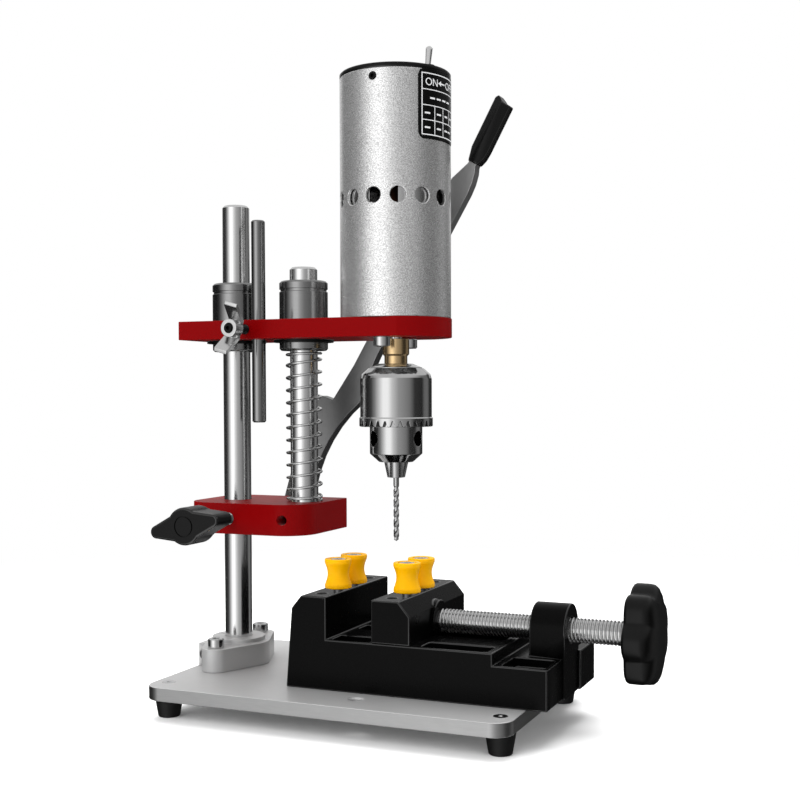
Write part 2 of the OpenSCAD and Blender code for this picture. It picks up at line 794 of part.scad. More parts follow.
module lock_knob() {
    front_y = -(block_back + lock_knob_reach);
    color("#161616") on_column_line() translate([lock_x, front_y, block_mid]) pointing_back()
        rotate([0, 0, -lock_knob_tilt]) difference() {
            union() {
                for (turn = [0, 180]) rotate([0, 0, turn])
                    tapered_link(knob_hub_d / 2 - 1, knob_tip_r, lock_knob_span / 2, knob_wing_t);
                cylinder(d = knob_hub_d, h = knob_wing_t + 1);
                cylinder(d = knob_neck_d, h = knob_wing_t + knob_neck_l);
            }
            // The shallow ring around the pressed-in plug of the hub
            translate([0, 0, -cut]) difference() {
                cylinder(d = 8.6, h = cut + 0.5);
                cylinder(d = 7.6, h = cut + 0.6);
            }
            translate([0, 0, 3]) cylinder(d = lock_screw_d + 0.02, h = knob_wing_t + knob_neck_l);
        }
}

module guide_shaft() {
    color("gainsboro") on_column_line() translate([guide_x, 0, block_z])
        shaft(shaft_d, guide_len, 1);
}

module guide_set_screw() {
    color("#555555") on_column_line() translate([guide_x, -shaft_d / 2 - run_gap, block_mid])
        pointing_front() difference() {
            cylinder(d = m4, h = set_screw_l);
            translate([0, 0, set_screw_l - 2]) cylinder(d = m4 / 2, h = 3, $fn = 6);
        }
}

// The return spring: one unbroken tube along a helix. Its end turns close in, and both ends
// run straight for one wire diameter, square to the block and to the bearing.
spring_sides = 6;
rings_per_turn = 8;
spring_low = block_top + 0.02;
spring_high = bearing_z - 0.1;
spring_r = (spring_d - spring_wire) / 2;
end_turns = 1;
end_pitch = spring_wire + 0.5;
coil_low = spring_low + 1.5 * spring_wire;
coil_high = spring_high - 1.5 * spring_wire;
mid_pitch = (coil_high - coil_low - 2 * end_turns * end_pitch) / (spring_turns - 2 * end_turns);
spring_steps = round(spring_turns * rings_per_turn);

// Height of the wire's centre after a number of turns
function coil_z(turns) = turns < end_turns ? coil_low + turns * end_pitch
    : turns > spring_turns - end_turns ? coil_high - (spring_turns - turns) * end_pitch
    : coil_low + end_turns * end_pitch + (turns - end_turns) * mid_pitch;

function coil_point(i) = let(turns = i * spring_turns / spring_steps, a = 360 * turns)
    [spring_r * cos(a), spring_r * sin(a), coil_z(turns)];

// One ring of the tube around a point, square to the way the tube runs there
function ring(p, along, outward) = let(t = along / norm(along),
    n = outward - (outward * t) * t, u = n / norm(n), w = cross(t, u))
    [for (k = [0:spring_sides - 1]) p + spring_wire / 2 * (cos(60 * k) * u + sin(60 * k) * w)];

function outward_at(i) = let(p = coil_point(i)) [p[0], p[1], 0];

module return_spring() {
    path = [for (i = [0:spring_steps]) coil_point(i)];
    first = path[0];
    last = path[spring_steps];
    rings = concat(
        [ring([first[0], first[1], spring_low], [0, 0, 1], outward_at(0)),
            ring([first[0], first[1], spring_low + spring_wire], [0, 0.5, 1], outward_at(0))],
        [for (i = [1:spring_steps - 1]) ring(path[i], path[i + 1] - path[i - 1], outward_at(i))],
        [ring([last[0], last[1], spring_high - spring_wire], [-sin(360 * spring_turns) / 2,
            cos(360 * spring_turns) / 2, 1], outward_at(spring_steps)),
            ring([last[0], last[1], spring_high], [0, 0, 1], outward_at(spring_steps))]);
    n = len(rings);
    s = spring_sides;
    sides = [for (i = [0:n - 2], k = [0:s - 1]) each [
        [i * s + k, i * s + (k + 1) % s, (i + 1) * s + k],
        [i * s + (k + 1) % s, (i + 1) * s + (k + 1) % s, (i + 1) * s + k]]];
    ends = [for (k = [1:s - 2]) each [[0, k + 1, k],
        [(n - 1) * s, (n - 1) * s + k, (n - 1) * s + k + 1]]];
    color("gainsboro") on_column_line() translate([guide_x, 0, 0])
        polyhedron(points = [for (r = rings) each [for (q = r) q]], faces = concat(
            [for (f = sides) [f[0], f[2], f[1]]], [for (f = ends) [f[0], f[2], f[1]]]));
}

// Least gap between two turns of the spring, from the distance between their centre points
spring_gaps = [for (i = [0:spring_steps - rings_per_turn + 2], j = [-2:2])
    if (i + rings_per_turn + j <= spring_steps)
        norm(coil_point(i) - coil_point(i + rings_per_turn + j)) - spring_wire];
echo("least gap between the spring's turns in mm", min(spring_gaps));

// The lever: a flat plate on a pivot behind the lower block. Its right-hand edge pushes the
// roller on the head plate, and is shaped so that the head moves steadily with the lever.
pivot_thread_l = 9;
pivot_washer_d = 8;
pivot = [pivot_x, block_mid];
roller_at = [roller_x, head_mid];

function turned_left(v, a) = [v[0] * cos(a) - v[1] * sin(a), v[0] * sin(a) + v[1] * cos(a)];

// The roller's centre as the lever sees it when the head has come down by s
function roller_seen(s) = turned_left(roller_at - [0, s] - pivot, lever_turn * s / stroke);

// A point of the cam edge: the roller's centre, set off by its radius towards the arm
function cam_point(s) = let(d = roller_seen(s - 0.01) - roller_seen(s + 0.01), t = d / norm(d))
    roller_seen(s) + (roller_d / 2 + run_gap) * [-t[1], t[0]];

arm_way = [cos(arm_slope), sin(arm_slope)];
arm_left = [-sin(arm_slope), cos(arm_slope)];
grip_way = [cos(grip_slope), sin(grip_slope)];
grip_left = [-sin(grip_slope), cos(grip_slope)];
cam_top = cam_point(-cam_margin);
arm_right_end = cam_top + arm_l * arm_way;
arm_left_low = cam_top - 27.5 * arm_way + arm_w * arm_left;
arm_left_end = cam_top + (arm_l + 2.6) * arm_way + arm_w * arm_left;
grip_foot = arm_right_end + [2.3, 13.1];
tang_w = 3.8;
tang_l = 17;
foot_r = 8;
lobe_r = 68;
lobe_centre = [73.8, -4];

// A point on the grip's own line: so far along it, and so far to its left
function on_grip(along, left) = grip_foot + along * grip_way + left * grip_left;

function lever_outline() = concat(
    // The round foot about the pivot
    [for (i = [0:8]) foot_r * [cos(-170 + i * 20), sin(-170 + i * 20)]],
    // The hollow curve of the lobe's right-hand side up to the cam edge
    [for (i = [0:6]) lobe_centre + lobe_r * [cos(168 - i * 6.6), sin(168 - i * 6.6)]],
    [for (i = [0:cam_steps]) cam_point(stroke + cam_margin - i * (stroke + 2 * cam_margin)
        / cam_steps)],
    // The arm's upper end and its tang
    [arm_right_end, arm_right_end + [1.9, 4.1], arm_right_end + [3.2, 8.4],
        on_grip(-1, -tang_w / 2), on_grip(tang_l, -tang_w / 2), on_grip(tang_l, tang_w / 2),
        on_grip(-1, tang_w / 2), arm_left_end],
    // The notch and the lobe's left-hand side
    [arm_left_low, [18.1, 50.5], [15.6, 51.5], [12.5, 52.5], [11, 51], [-2.8, 19.3],
        [-6.6, 6.5]]);

module lever_plate_space(y, t) {
    translate([pivot[0], y + t, pivot[1]]) pointing_front() linear_extrude(t) children();
}

module lever_arm() {
    color("#8c8f92") on_column_line() difference() {
        lever_plate_space(lever_y, lever_t) polygon(lever_outline());
        translate([pivot_x, lever_y - cut, block_mid]) pointing_back()
            cylinder(d = pivot_d + 2 * run_gap, h = lever_t + 2 * cut);
    }
}

function grip_outline() = [on_grip(0, -2.5), on_grip(3, 0.4 - grip_w / 2),
    on_grip(6.5, -grip_w / 2), on_grip(grip_l - 2.2, -grip_w / 2), on_grip(grip_l - 1.9, -0.6),
    on_grip(grip_l, grip_w / 2 - 1.4), on_grip(grip_l - 1.2, grip_w / 2),
    on_grip(6, grip_w / 2), on_grip(0, 2.5)];

module lever_grip() {
    foot = pivot + grip_foot;
    color("#161616") on_column_line() difference() {
        intersection() {
            lever_plate_space(lever_mid_y - grip_t / 2, grip_t) polygon(grip_outline());
            // Six flat sides that meet in a ridge at the front and at the back
            translate([foot[0], lever_mid_y, foot[1]]) rotate([0, 90 - grip_slope, 0])
                translate([0, 0, -cut]) linear_extrude(grip_l + 2 * cut) polygon([
                    [-grip_w / 2, -grip_t / 4], [0, -grip_t / 2], [grip_w / 2, -grip_t / 4],
                    [grip_w / 2, grip_t / 4], [0, grip_t / 2], [-grip_w / 2, grip_t / 4]]);
        }
        lever_plate_space(lever_y, lever_t) polygon(lever_outline());
    }
}

module pivot_screw() {
    color("gainsboro") on_column_line() translate([pivot_x, 0, block_mid]) rotate([-90, 0, 0])
        difference() {
            turned([[0, block_back - pivot_thread_l], [m4 / 2, block_back - pivot_thread_l],
                [m4 / 2, block_back], [pivot_d / 2, block_back],
                [pivot_d / 2, lever_y + lever_t + face_gap],
                [5, lever_y + lever_t + face_gap], [5, lever_y + lever_t + 3.5],
                [4.5, lever_y + lever_t + 4], [0, lever_y + lever_t + 4]]);
            translate([0, 0, lever_y + lever_t + 2]) cylinder(d = 3, h = 4, $fn = 6);
        }
}

module pivot_washer() {
    color("silver") on_column_line() translate([pivot_x, block_back, block_mid])
        pointing_back() difference() {
        cylinder(d = pivot_washer_d, h = lever_gap - face_gap);
        translate([0, 0, -cut]) cylinder(d = pivot_d + 2 * run_gap, h = lever_gap + 2 * cut);
    }
}

// The head plate
boss_d = 17.5;
motor_screw_r = 14.5;
wing_screw_inner = rod_front + rod_d / 2;
roller_thread_l = 8;

module head_plate() {
    color("#b01217") on_column_line() difference() {
        union() {
            box([column_x - head_left, -block_back, head_z], [spindle_x, block_back, head_top]);
            intersection() {
                translate([spindle_x, 0, head_z]) cylinder(r = head_end_r, h = head_t);
                box([spindle_x - 1, -block_back, head_z],
                    [spindle_x + head_end_r, block_back, head_top]);
            }
        }
        for (x = [column_x, guide_x]) translate([x, 0, head_z - cut])
            cylinder(d = bearing_d + run_gap, h = head_t + 2 * cut);
        translate([rod_x, -rod_front, head_z - cut])
            cylinder(d = rod_d + 2 * run_gap, h = head_t + 2 * cut);
        translate([rod_x, -rod_front, head_mid]) pointing_front()
            cylinder(d = m4 + 2 * run_gap, h = block_back);
        translate([spindle_x, 0, head_z - cut])
            cylinder(d = boss_d + 2 * run_gap, h = head_t + 2 * cut);
        for (s = [-1, 1]) translate([spindle_x, s * motor_screw_r, head_z - cut])
            cylinder(d = m4 + 2 * run_gap, h = head_t + 2 * cut);
        translate([roller_x, block_back - roller_thread_l - 1, head_mid]) pointing_back()
            cylinder(d = m3 + 2 * run_gap, h = roller_thread_l + 1 + cut);
    }
}

groove_w = 1.2;
groove_depth = 0.5;

// Half outline of a linear bearing, with a retaining groove near each end
function bearing_outline() = let(r = bearing_d / 2, g = r - groove_depth,
    low = bearing_drop - groove_w, high = bearing_l - groove_inset,
    bore = shaft_d / 2 + run_gap) [[bore, 0], [r - 0.8, 0], [r, 0.8], [r, low], [g, low],
    [g, low + groove_w], [r, low + groove_w], [r, high - groove_w], [g, high - groove_w],
    [g, high], [r, high], [r, bearing_l - 0.8], [r - 0.8, bearing_l], [bore, bearing_l]];

module linear_bearings() {
    color("#6d7073") on_column_line() for (x = [column_x, guide_x]) translate([x, 0, bearing_z])
        turned(bearing_outline());
}

module retaining_rings() {
    color("#222222") on_column_line() for (x = [column_x, guide_x])
        translate([x, 0, head_z - groove_w + 0.05]) difference() {
            cylinder(d = bearing_d + 5, h = groove_w - 0.1);
            translate([0, 0, -cut]) cylinder(r = bearing_d / 2 - groove_depth + 0.02, h = 4);
            rotate([0, 0, 100]) box([0, -3.5, -cut], [bearing_d, 3.5, 3]);
        }
}

module roller_screw() {
    color("gainsboro") on_column_line() translate([roller_x, 0, head_mid])
        pointing_back() difference() {
        turned([[0, block_back - roller_thread_l], [m3 / 2, block_back - roller_thread_l],
            [m3 / 2, block_back], [roller_d / 2 - 0.5, block_back],
            [roller_d / 2 - 0.5, lever_y - face_gap], [2, lever_y - face_gap],
            [2, lever_y + lever_t], [3.6, lever_y + lever_t], [3.6, lever_y + lever_t + 2],
            [0, lever_y + lever_t + 2]]);
        translate([0, 0, lever_y + lever_t + 0.8]) cylinder(d = 2.5, h = 4, $fn = 6);
    }
}

module roller() {
    color("silver") on_column_line() translate([roller_x, lever_y, head_mid])
        pointing_back() difference() {
        cylinder(d = roller_d, h = lever_t - face_gap);
        translate([0, 0, -cut]) cylinder(r = 2 + run_gap, h = lever_t + 2 * cut);
    }
}

module depth_rod() {
    color("silver") on_column_line() translate([rod_x, -rod_front, block_top + rod_clear])
        shaft(rod_d, rod_len, 0.6);
}

wing_hub_d = 7.6;
wing_hub_l = 6;
wing_lean = 7;
wing_blade_w = 6;

module wing_nut() {
    // Outline of one blade: radius along the first axis, forward along the second
    blade = [[2.6, 0], [wing_hub_d / 2 + 0.6, 0], [wing_span / 2 - 1, wing_lean - 1],
        [wing_span / 2, wing_lean + 1.4], [wing_span / 2 - 1.6, wing_lean + 1.6],
        [wing_hub_d / 2 - 0.4, 2.2], [2.6, 2.2]];
    hub_y = -(block_back + wing_reach - wing_hub_l);
    color("silver") on_column_line() translate([rod_x, hub_y, head_mid])
        pointing_front() rotate([0, 0, 90 - wing_tilt]) difference() {
            union() {
                cylinder(d = wing_hub_d, h = wing_hub_l);
                for (turn = [0, 180]) rotate([0, 0, turn])
                    translate([0, wing_blade_w / 2, 0]) rotate([90, 0, 0])
                        linear_extrude(wing_blade_w) polygon(blade);
            }
            translate([0, 0, -cut]) cylinder(d = m4 + 0.02, h = wing_hub_l + 2 * cut);
        }
}

module wing_stud() {
    color("gainsboro") on_column_line() translate([rod_x, -wing_screw_inner, head_mid])
        pointing_front() difference() {
            shaft(m4, block_back + wing_reach + 0.6 - wing_screw_inner, 0.4);
            translate([0, 0, block_back + wing_reach - wing_screw_inner - 1])
                cylinder(d = 1.8, h = 3, $fn = 6);
        }
}

// The motor and its housing
cap_skirt = 8;
cap_screw_drop = 3.2;
cap_screws_n = 3;
can_h = 66;
can_gap = 0.4;
can_r = housing_d / 2 - housing_wall - can_gap;
can_wall = 1.4;
can_floor = 2.4;
bush_d = 12;
motor_axis_d = 5;
can_windows = 5;
window_span = 32;
window_turn = -80;
boss_h = 5;
bell_t = 6;
shaft_low = 11;
shaft_high = can_h + 3.5;
core_d = 30;
core_z0 = 18;
core_z1 = 48;

module at_spindle() {
    translate([spindle_x, 0, head_top]) children();
}

module at_cap_screws() {
    for (i = [0:cap_screws_n - 1]) at_spindle() rotate([0, 0, -90 + i * 360 / cap_screws_n])
        translate([0, 0, housing_h - cap_screw_drop]) children();
}

module motor_housing() {
    r = housing_d / 2;
    color("#cfd2d4") on_column_line() difference() {
        at_spindle() turned([[r - housing_wall, 0], [r, 0], [r, housing_h],
            [r - housing_wall, housing_h]]);
        at_spindle() for (i = [0:vents - 1]) rotate([0, 0, -90 + i * 360 / vents])
            translate([r - housing_wall - cut, 0, vent_height]) pointing_right()
                cylinder(d = vent_d, h = housing_wall + 2 * cut, $fn = 32);
        at_cap_screws() translate([r - housing_wall - cut, 0, 0]) pointing_right()
            cylinder(d = m3 + 2 * run_gap, h = housing_wall + 2 * cut, $fn = 32);
    }
}

module top_cap() {
    r = housing_d / 2;
    skirt_r = r - housing_wall - run_gap;
    color("#161616") on_column_line() difference() {
        at_spindle() translate([0, 0, housing_h]) turned([[0, 0], [skirt_r - 2, 0],
            [skirt_r - 2, -cap_skirt], [skirt_r, -cap_skirt], [skirt_r, 0], [r, 0],
            [r, cap_t - 0.5], [r - 0.5, cap_t], [0, cap_t]]);
        at_cap_screws() translate([r - 5, 0, 0]) pointing_right()
            cylinder(d = m3 + 2 * run_gap, h = 5, $fn = 32);
        translate([spindle_x + switch_reach, 0, housing_top - cut])
            cylinder(d = switch_thread_d + 2 * run_gap, h = cap_t + 2 * cut);
        translate([spindle_x - inlet_reach, 0, housing_top - cut])
            cylinder(d = inlet_d + 2 * run_gap, h = cap_t + 2 * cut);
    }
}

module cap_screws() {
    color("#2a2a2a") on_column_line() at_cap_screws() translate([housing_d / 2 + 0.2, 0, 0])
        pointing_right() difference() {
            translate([0, 0, -4.5]) cylinder(d = m3, h = 4.5, $fn = 32);
            translate([0, 0, -1.4]) cylinder(d = m3 * 0.55, h = 3, $fn = 6);
        }
}

module motor_can() {
    color("#9a9da0") on_column_line() difference() {
        at_spindle() turned([[bush_d / 2, -boss_h], [boss_d / 2, -boss_h], [boss_d / 2, 0],
            [can_r, 0], [can_r, can_h], [can_r - can_wall, can_h],
            [can_r - can_wall, can_floor], [bush_d / 2, can_floor]]);
        at_spindle() for (i = [0:can_windows - 1])
            rotate([0, 0, window_turn + i * 360 / can_windows])
                translate([can_r - 4, -can_r * sin(window_span / 2), vent_height - 7])
                    cube([8, 2 * can_r * sin(window_span / 2), 14]);
        for (s = [-1, 1]) translate([spindle_x, s * motor_screw_r, head_top - cut])
            cylinder(d = m4 + 2 * run_gap, h = can_floor + 2 * cut);
    }
}

module motor_end_bell() {
    color("#222222") on_column_line() at_spindle() translate([0, 0, can_h])
        turned([[bush_d / 2, 0], [can_r, 0], [can_r, bell_t - 1], [can_r - 1, bell_t],
            [bush_d / 2, bell_t]]);
}

module motor_magnets() {
    outer = can_r - can_wall - 0.05;
    inner = core_d / 2 + 0.8;
    color("#3c3c3c") on_column_line() at_spindle() for (turn = [0, 180])
        rotate([0, 0, turn]) intersection() {
            translate([0, 0, core_z0 - 4]) difference() {
                cylinder(r = outer, h = core_z1 - core_z0 - 6);
                translate([0, 0, -cut]) cylinder(r = inner, h = core_z1);
            }
            translate([0, -outer * 0.8, 0]) cube([outer + 1, outer * 1.6, can_h]);
        }
}

module motor_bushes() {
    color("#b5892e") on_column_line() at_spindle() for (z = [-boss_h, can_h])
        translate([0, 0, z]) difference() {
            cylinder(d = bush_d, h = z < 0 ? boss_h + can_floor : bell_t);
            translate([0, 0, -cut])
                cylinder(d = motor_axis_d + 2 * run_gap, h = boss_h + bell_t + 4);
        }
}

module motor_screws() {
    color("gainsboro") on_column_line() for (s = [-1, 1])
        translate([spindle_x, s * motor_screw_r, head_z]) mirror([0, 0, 1])
            cap_screw(m4, m4_head_d, m4_head_h, head_t + can_floor - 0.2);
}

module armature() {
    color("#a8622e") on_column_line() at_spindle() difference() {
        union() {
            for (i = [0:4]) rotate([0, 0, i * 72]) translate([0, -4.6, core_z0 + 3])
                cube([core_d / 2 - 1.6, 9.2, core_z1 - core_z0 - 6]);
            translate([0, 0, core_z0]) cylinder(d = core_d * 0.66, h = core_z1 - core_z0);
            for (i = [0:4]) rotate([0, 0, i * 72]) intersection() {
                translate([0, 0, core_z0 + 4]) cylinder(d = core_d,
                    h = core_z1 - core_z0 - 8);
                translate([core_d / 2 - 3, -6.4, 0]) cube([4, 12.8, can_h]);
            }
            translate([0, 0, core_z1]) cylinder(d = 11, h = 10);
        }
        translate([0, 0, core_z0 - cut])
            cylinder(d = motor_axis_d, h = core_z1 - core_z0 + 12);
    }
}

module motor_shaft() {
    color("gainsboro") on_column_line() at_spindle() translate([0, 0, -head_t - shaft_low])
        shaft(motor_axis_d, head_t + shaft_low + shaft_high, 0.4);
}

// The coupling between the motor's shaft and the chuck
coupling_d = 11.3;
coupling_low_d = 9.7;
coupling_step = 4;
coupling_seat = 8;
coupling_top = head_z - 0.4;

module brass_coupling() {
    color("#c79a45") on_column_line() translate([spindle_x, 0, 0]) difference() {
        turned([[0, chuck_z - coupling_seat], [coupling_low_d / 2 - 0.6, chuck_z - coupling_seat],
            [coupling_low_d / 2, chuck_z], [coupling_low_d / 2, chuck_z + coupling_step - 0.8],
            [coupling_d / 2, chuck_z + coupling_step], [coupling_d / 2, coupling_top],
            [0, coupling_top]]);
        translate([0, 0, head_z - shaft_low])
            cylinder(d = motor_axis_d, h = shaft_low + cut);
        rotate([0, 0, 90]) translate([0, 0, (coupling_top + chuck_z + coupling_step) / 2])
            pointing_right() cylinder(d = m3, h = coupling_d);
    }
}

// The key chuck: body, toothed sleeve, split nut and three leaning jaws
jaw_turn = -67.9;
jaw_r = 2.7;
jaw_end_z = chuck_z - 47.9;
jaw_l = 30;
body_low = chuck_z - 37.8;
cone_low = body_low - 3.5;
nose_r = 7.2;
nut_z0 = chuck_z - 24;
nut_z1 = nut_z0 + 5;
nut_groove_r = 8.4;
sleeve_top = chuck_z - 4.4;
sleeve_bore_r = sleeve_d / 2 - 2.1;
lean_rate = tan(jaw_lean);

// Distance of a jaw's axis from the drill axis at a height
function jaw_axis_r(z) = (z - jaw_end_z) * lean_rate + 1.1;

module at_jaw(i) {
    translate([spindle_x, 0, jaw_end_z]) rotate([0, 0, jaw_turn + i * 120])
        translate([1.1, 0, 0]) rotate([0, jaw_lean, 0]) children();
}

chuck_top_r = 7;

module chuck_body() {
    color("#b9bcbf") on_column_line() difference() {
        translate([spindle_x, 0, 0]) turned([[0, cone_low], [nose_r, cone_low],
            [chuck_d / 2, body_low], [chuck_d / 2, nut_z0 - 0.1], [nut_groove_r, nut_z0 - 0.1],
            [nut_groove_r, nut_z1 + 0.1], [chuck_d / 2, nut_z1 + 0.1],
            [chuck_d / 2, chuck_z - 1.6], [chuck_top_r, chuck_z], [0, chuck_z]]);
        translate([spindle_x, 0, chuck_z - coupling_seat])
            cylinder(d1 = coupling_low_d - 1.2 + 0.02, d2 = coupling_low_d + 0.02,
                h = coupling_seat + 0.01);
        translate([spindle_x, 0, cone_low - cut])
            cylinder(d = bit_d + 0.6, h = 20);
        for (i = [0:2]) {
            at_jaw(i) translate([0, 0, -cut]) cylinder(r = jaw_r + run_gap, h = jaw_l + 14);
            translate([spindle_x, 0, body_low + 6.4]) rotate([0, 0, jaw_turn + 60 + i * 120])
                translate([chuck_d / 2 - 5, 0, 0]) pointing_right()
                    cylinder(d = key_hole_d, h = 10);
        }
    }
}

module chuck_sleeve() {
    rim_z = sleeve_top - sleeve_l;
    tooth = PI * sleeve_d / sleeve_teeth;
    r = sleeve_d / 2;
    color("#c4c7ca") on_column_line() difference() {
        translate([spindle_x, 0, 0]) turned([[chuck_d / 2 + run_gap, rim_z],
            [r - 0.3, rim_z], [r, rim_z + 0.3], [r, rim_z + 3.6], [r - 0.4, rim_z + 4],
            [r - 0.4, sleeve_top - 2.2],
            [r - 1, sleeve_top], [chuck_d / 2 + 0.6, chuck_z - 1.9],
            [chuck_d / 2 + run_gap, chuck_z - 1.9], [chuck_d / 2 + run_gap, nut_z1 + 9],
            [sleeve_bore_r, nut_z1 + 9], [sleeve_bore_r, nut_z0 - 0.1],
            [chuck_d / 2 + run_gap, nut_z0 - 0.1]]);
        // Teeth around the lower rim for the chuck key
        for (i = [0:sleeve_teeth - 1]) translate([spindle_x, 0, rim_z])
            rotate([0, 0, i * 360 / sleeve_teeth]) translate([r - 2.2, 0, 0]) pointing_right()
                linear_extrude(4) polygon([[cut, -tooth * 0.34], [cut, tooth * 0.34],
                    [0, tooth * 0.34], [-2.5, tooth * 0.08], [-2.5, -tooth * 0.08],
                    [0, -tooth * 0.34]]);
    }
}

module chuck_nut() {
    color("#8f9295") on_column_line() translate([spindle_x, 0, 0]) difference() {
        turned([[jaw_axis_r(nut_z0) + jaw_r + 0.25, nut_z0], [sleeve_bore_r - 0.02, nut_z0],
            [sleeve_bore_r - 0.02, nut_z1], [jaw_axis_r(nut_z1) + jaw_r + 0.25, nut_z1]]);
        // The nut is split so that it can be put around the body
        box([-sleeve_d, -0.15, nut_z0 - cut], [sleeve_d, 0.15, nut_z1 + cut]);
    }
}

module chuck_jaw(i) {
    third = chuck_d / 2 + 0.9;
    color("#8f9295") on_column_line() intersection() {
        at_jaw(i) translate([0, 0, -2]) cylinder(r = jaw_r, h = jaw_l + 2);
        translate([spindle_x, 0, 0]) rotate([0, 0, jaw_turn + i * 120]) difference() {
            // The jaw keeps to its own third around the drill bit
            translate([0, 0, jaw_end_z]) linear_extrude(jaw_l + 4)
                polygon([[0.1, 0], [third, third * tan(60)], [2 * third, 0],
                    [third, -third * tan(60)]]);
            translate([0, 0, jaw_end_z - cut])
                cylinder(r = bit_d / 2 + 0.02, h = jaw_l + 2 * cut);
        }
    }
}

module chuck_jaw_1() {
    chuck_jaw(0);
}

module chuck_jaw_2() {
    chuck_jaw(1);
}

module chuck_jaw_3() {
    chuck_jaw(2);
}

// The drill bit: a round bar with a pointed end
bit_grip = 14;
point_l = 0.8;

module drill_bit() {
    color("#8f9295") on_column_line() translate([spindle_x, 0, jaw_end_z - bit_reach])
        turned([[0, 0], [bit_d / 2, point_l], [bit_d / 2, bit_reach + bit_grip],
            [0, bit_reach + bit_grip]]);
}

// The switch and the power inlet in the top cap
switch_thread_d = 6;
switch_thread_l = 2.6;
switch_ball_r = 1.9;
inlet_reach = 12;
inlet_d = 8;
nut_t = 2;

module switch_body() {
    color("#30343a") on_column_line() difference() {
        union() {
            translate([spindle_x + switch_reach - 4, -6, housing_top - 12])
                cube([8, 12, 12]);
            translate([spindle_x + switch_reach, 0, housing_top - cut])
                cylinder(d = switch_thread_d, h = cap_t + switch_thread_l + cut);
        }
        // The cup that the lever's ball turns in, and the funnel above it
        translate([spindle_x + switch_reach, 0, switch_pivot_z]) sphere(r = switch_ball_r + 0.1);
        translate([spindle_x + switch_reach, 0, switch_pivot_z])
            cylinder(r = switch_ball_r + 0.1, h = 10);
    }
}

switch_pivot_z = cap_top + switch_thread_l - 2.4;
switch_lever_l = 10.8;

module switch_lever() {
    color("gainsboro") on_column_line() translate([spindle_x + switch_reach, 0, switch_pivot_z])
        rotate([-switch_lean, 0, 0]) {
            sphere(r = switch_ball_r);
            turned([[0, 0], [1, 0], [1.45, switch_lever_l - 0.6], [0.9, switch_lever_l],
                [0, switch_lever_l]]);
        }
}

module power_inlet() {
    color("#222222") on_column_line() translate([spindle_x - inlet_reach, 0, housing_top])
        difference() {
        union() {
            translate([0, 0, -10]) cylinder(d = inlet_d, h = 10 + cap_t + 4);
            translate([0, 0, -2]) cylinder(d = inlet_d + 3, h = 2);
        }
        translate([0, 0, -7]) difference() {
            cylinder(d = 5.7, h = 20);
            cylinder(d = 2, h = 12);
        }
    }
}

module hex_nut(d, across) {
    difference() {
        cylinder(d = across / cos(30), h = nut_t, $fn = 6);
        translate([0, 0, -cut]) cylinder(d = d + 2 * run_gap, h = nut_t + 2 * cut);
    }
}

module panel_nuts() {
    color("gainsboro") on_column_line() {
        translate([spindle_x + switch_reach, 0, cap_top]) hex_nut(switch_thread_d, 8);
        translate([spindle_x - inlet_reach, 0, cap_top]) hex_nut(inlet_d, 11);
    }
}

base_plate();
feet();
foot_screws();
column_flange();
flange_screws();
flange_clamp_screw();
column();
vise_body();
vise_bolts();
fixed_posts();
fixed_post_screws();
moving_jaw();
moving_posts();
moving_post_screws();
jaw_keeper();
keeper_screw();
lead_screw();
retaining_pins();
star_knob();
lower_block();
lock_knob();
lock_screw();
lock_pad();
guide_shaft();
guide_set_screw();
return_spring();
lever_arm();
lever_grip();
pivot_screw();
pivot_washer();
head_plate();
linear_bearings();
retaining_rings();
roller_screw();
roller();
depth_rod();
wing_nut();
wing_stud();
motor_housing();
top_cap();
cap_screws();
motor_can();
motor_end_bell();
motor_magnets();
motor_bushes();
motor_screws();
armature();
motor_shaft();
brass_coupling();
chuck_body();
drill_bit();
chuck_sleeve();
chuck_nut();
chuck_jaw_1();
chuck_jaw_2();
chuck_jaw_3();
switch_body();
switch_lever();
panel_nuts();
power_inlet();
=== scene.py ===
"""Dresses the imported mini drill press: edges, threads, label, finishes, stage and camera."""

import json
import math

import bmesh
import bpy
from mathutils import Matrix, Vector


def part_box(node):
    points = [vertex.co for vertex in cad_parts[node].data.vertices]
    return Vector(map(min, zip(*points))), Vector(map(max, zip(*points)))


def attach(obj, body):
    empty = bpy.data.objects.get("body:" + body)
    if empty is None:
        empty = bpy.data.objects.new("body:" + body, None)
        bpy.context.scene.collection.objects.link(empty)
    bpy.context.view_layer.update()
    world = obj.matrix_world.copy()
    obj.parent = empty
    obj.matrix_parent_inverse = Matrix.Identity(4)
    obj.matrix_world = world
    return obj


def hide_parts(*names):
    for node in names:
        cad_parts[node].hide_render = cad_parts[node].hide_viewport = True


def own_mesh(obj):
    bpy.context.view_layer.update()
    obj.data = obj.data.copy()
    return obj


bl_info = {
    "name": "Mini drill press",
    "version": (1, 0, 0),
    "blender": (4, 5, 0),
    "location": "3D View > Sidebar > Drill press",
    "description": "Builds the finished surfaces of a mini drill press around its packed frame",
    "category": "Object",
}

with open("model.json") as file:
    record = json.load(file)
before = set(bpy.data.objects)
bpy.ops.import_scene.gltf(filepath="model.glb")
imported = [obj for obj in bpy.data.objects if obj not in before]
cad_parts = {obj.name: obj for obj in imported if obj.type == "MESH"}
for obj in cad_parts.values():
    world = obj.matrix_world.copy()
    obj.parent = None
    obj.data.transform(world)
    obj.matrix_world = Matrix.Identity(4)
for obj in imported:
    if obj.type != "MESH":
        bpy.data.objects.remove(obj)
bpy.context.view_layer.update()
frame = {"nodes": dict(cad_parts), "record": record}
BODY = {node: body for body, nodes in frame["record"]["behaviour"]["bodies"].items()
        for node in nodes}
MM = 0.001
FULL_TURN = 2 * math.pi


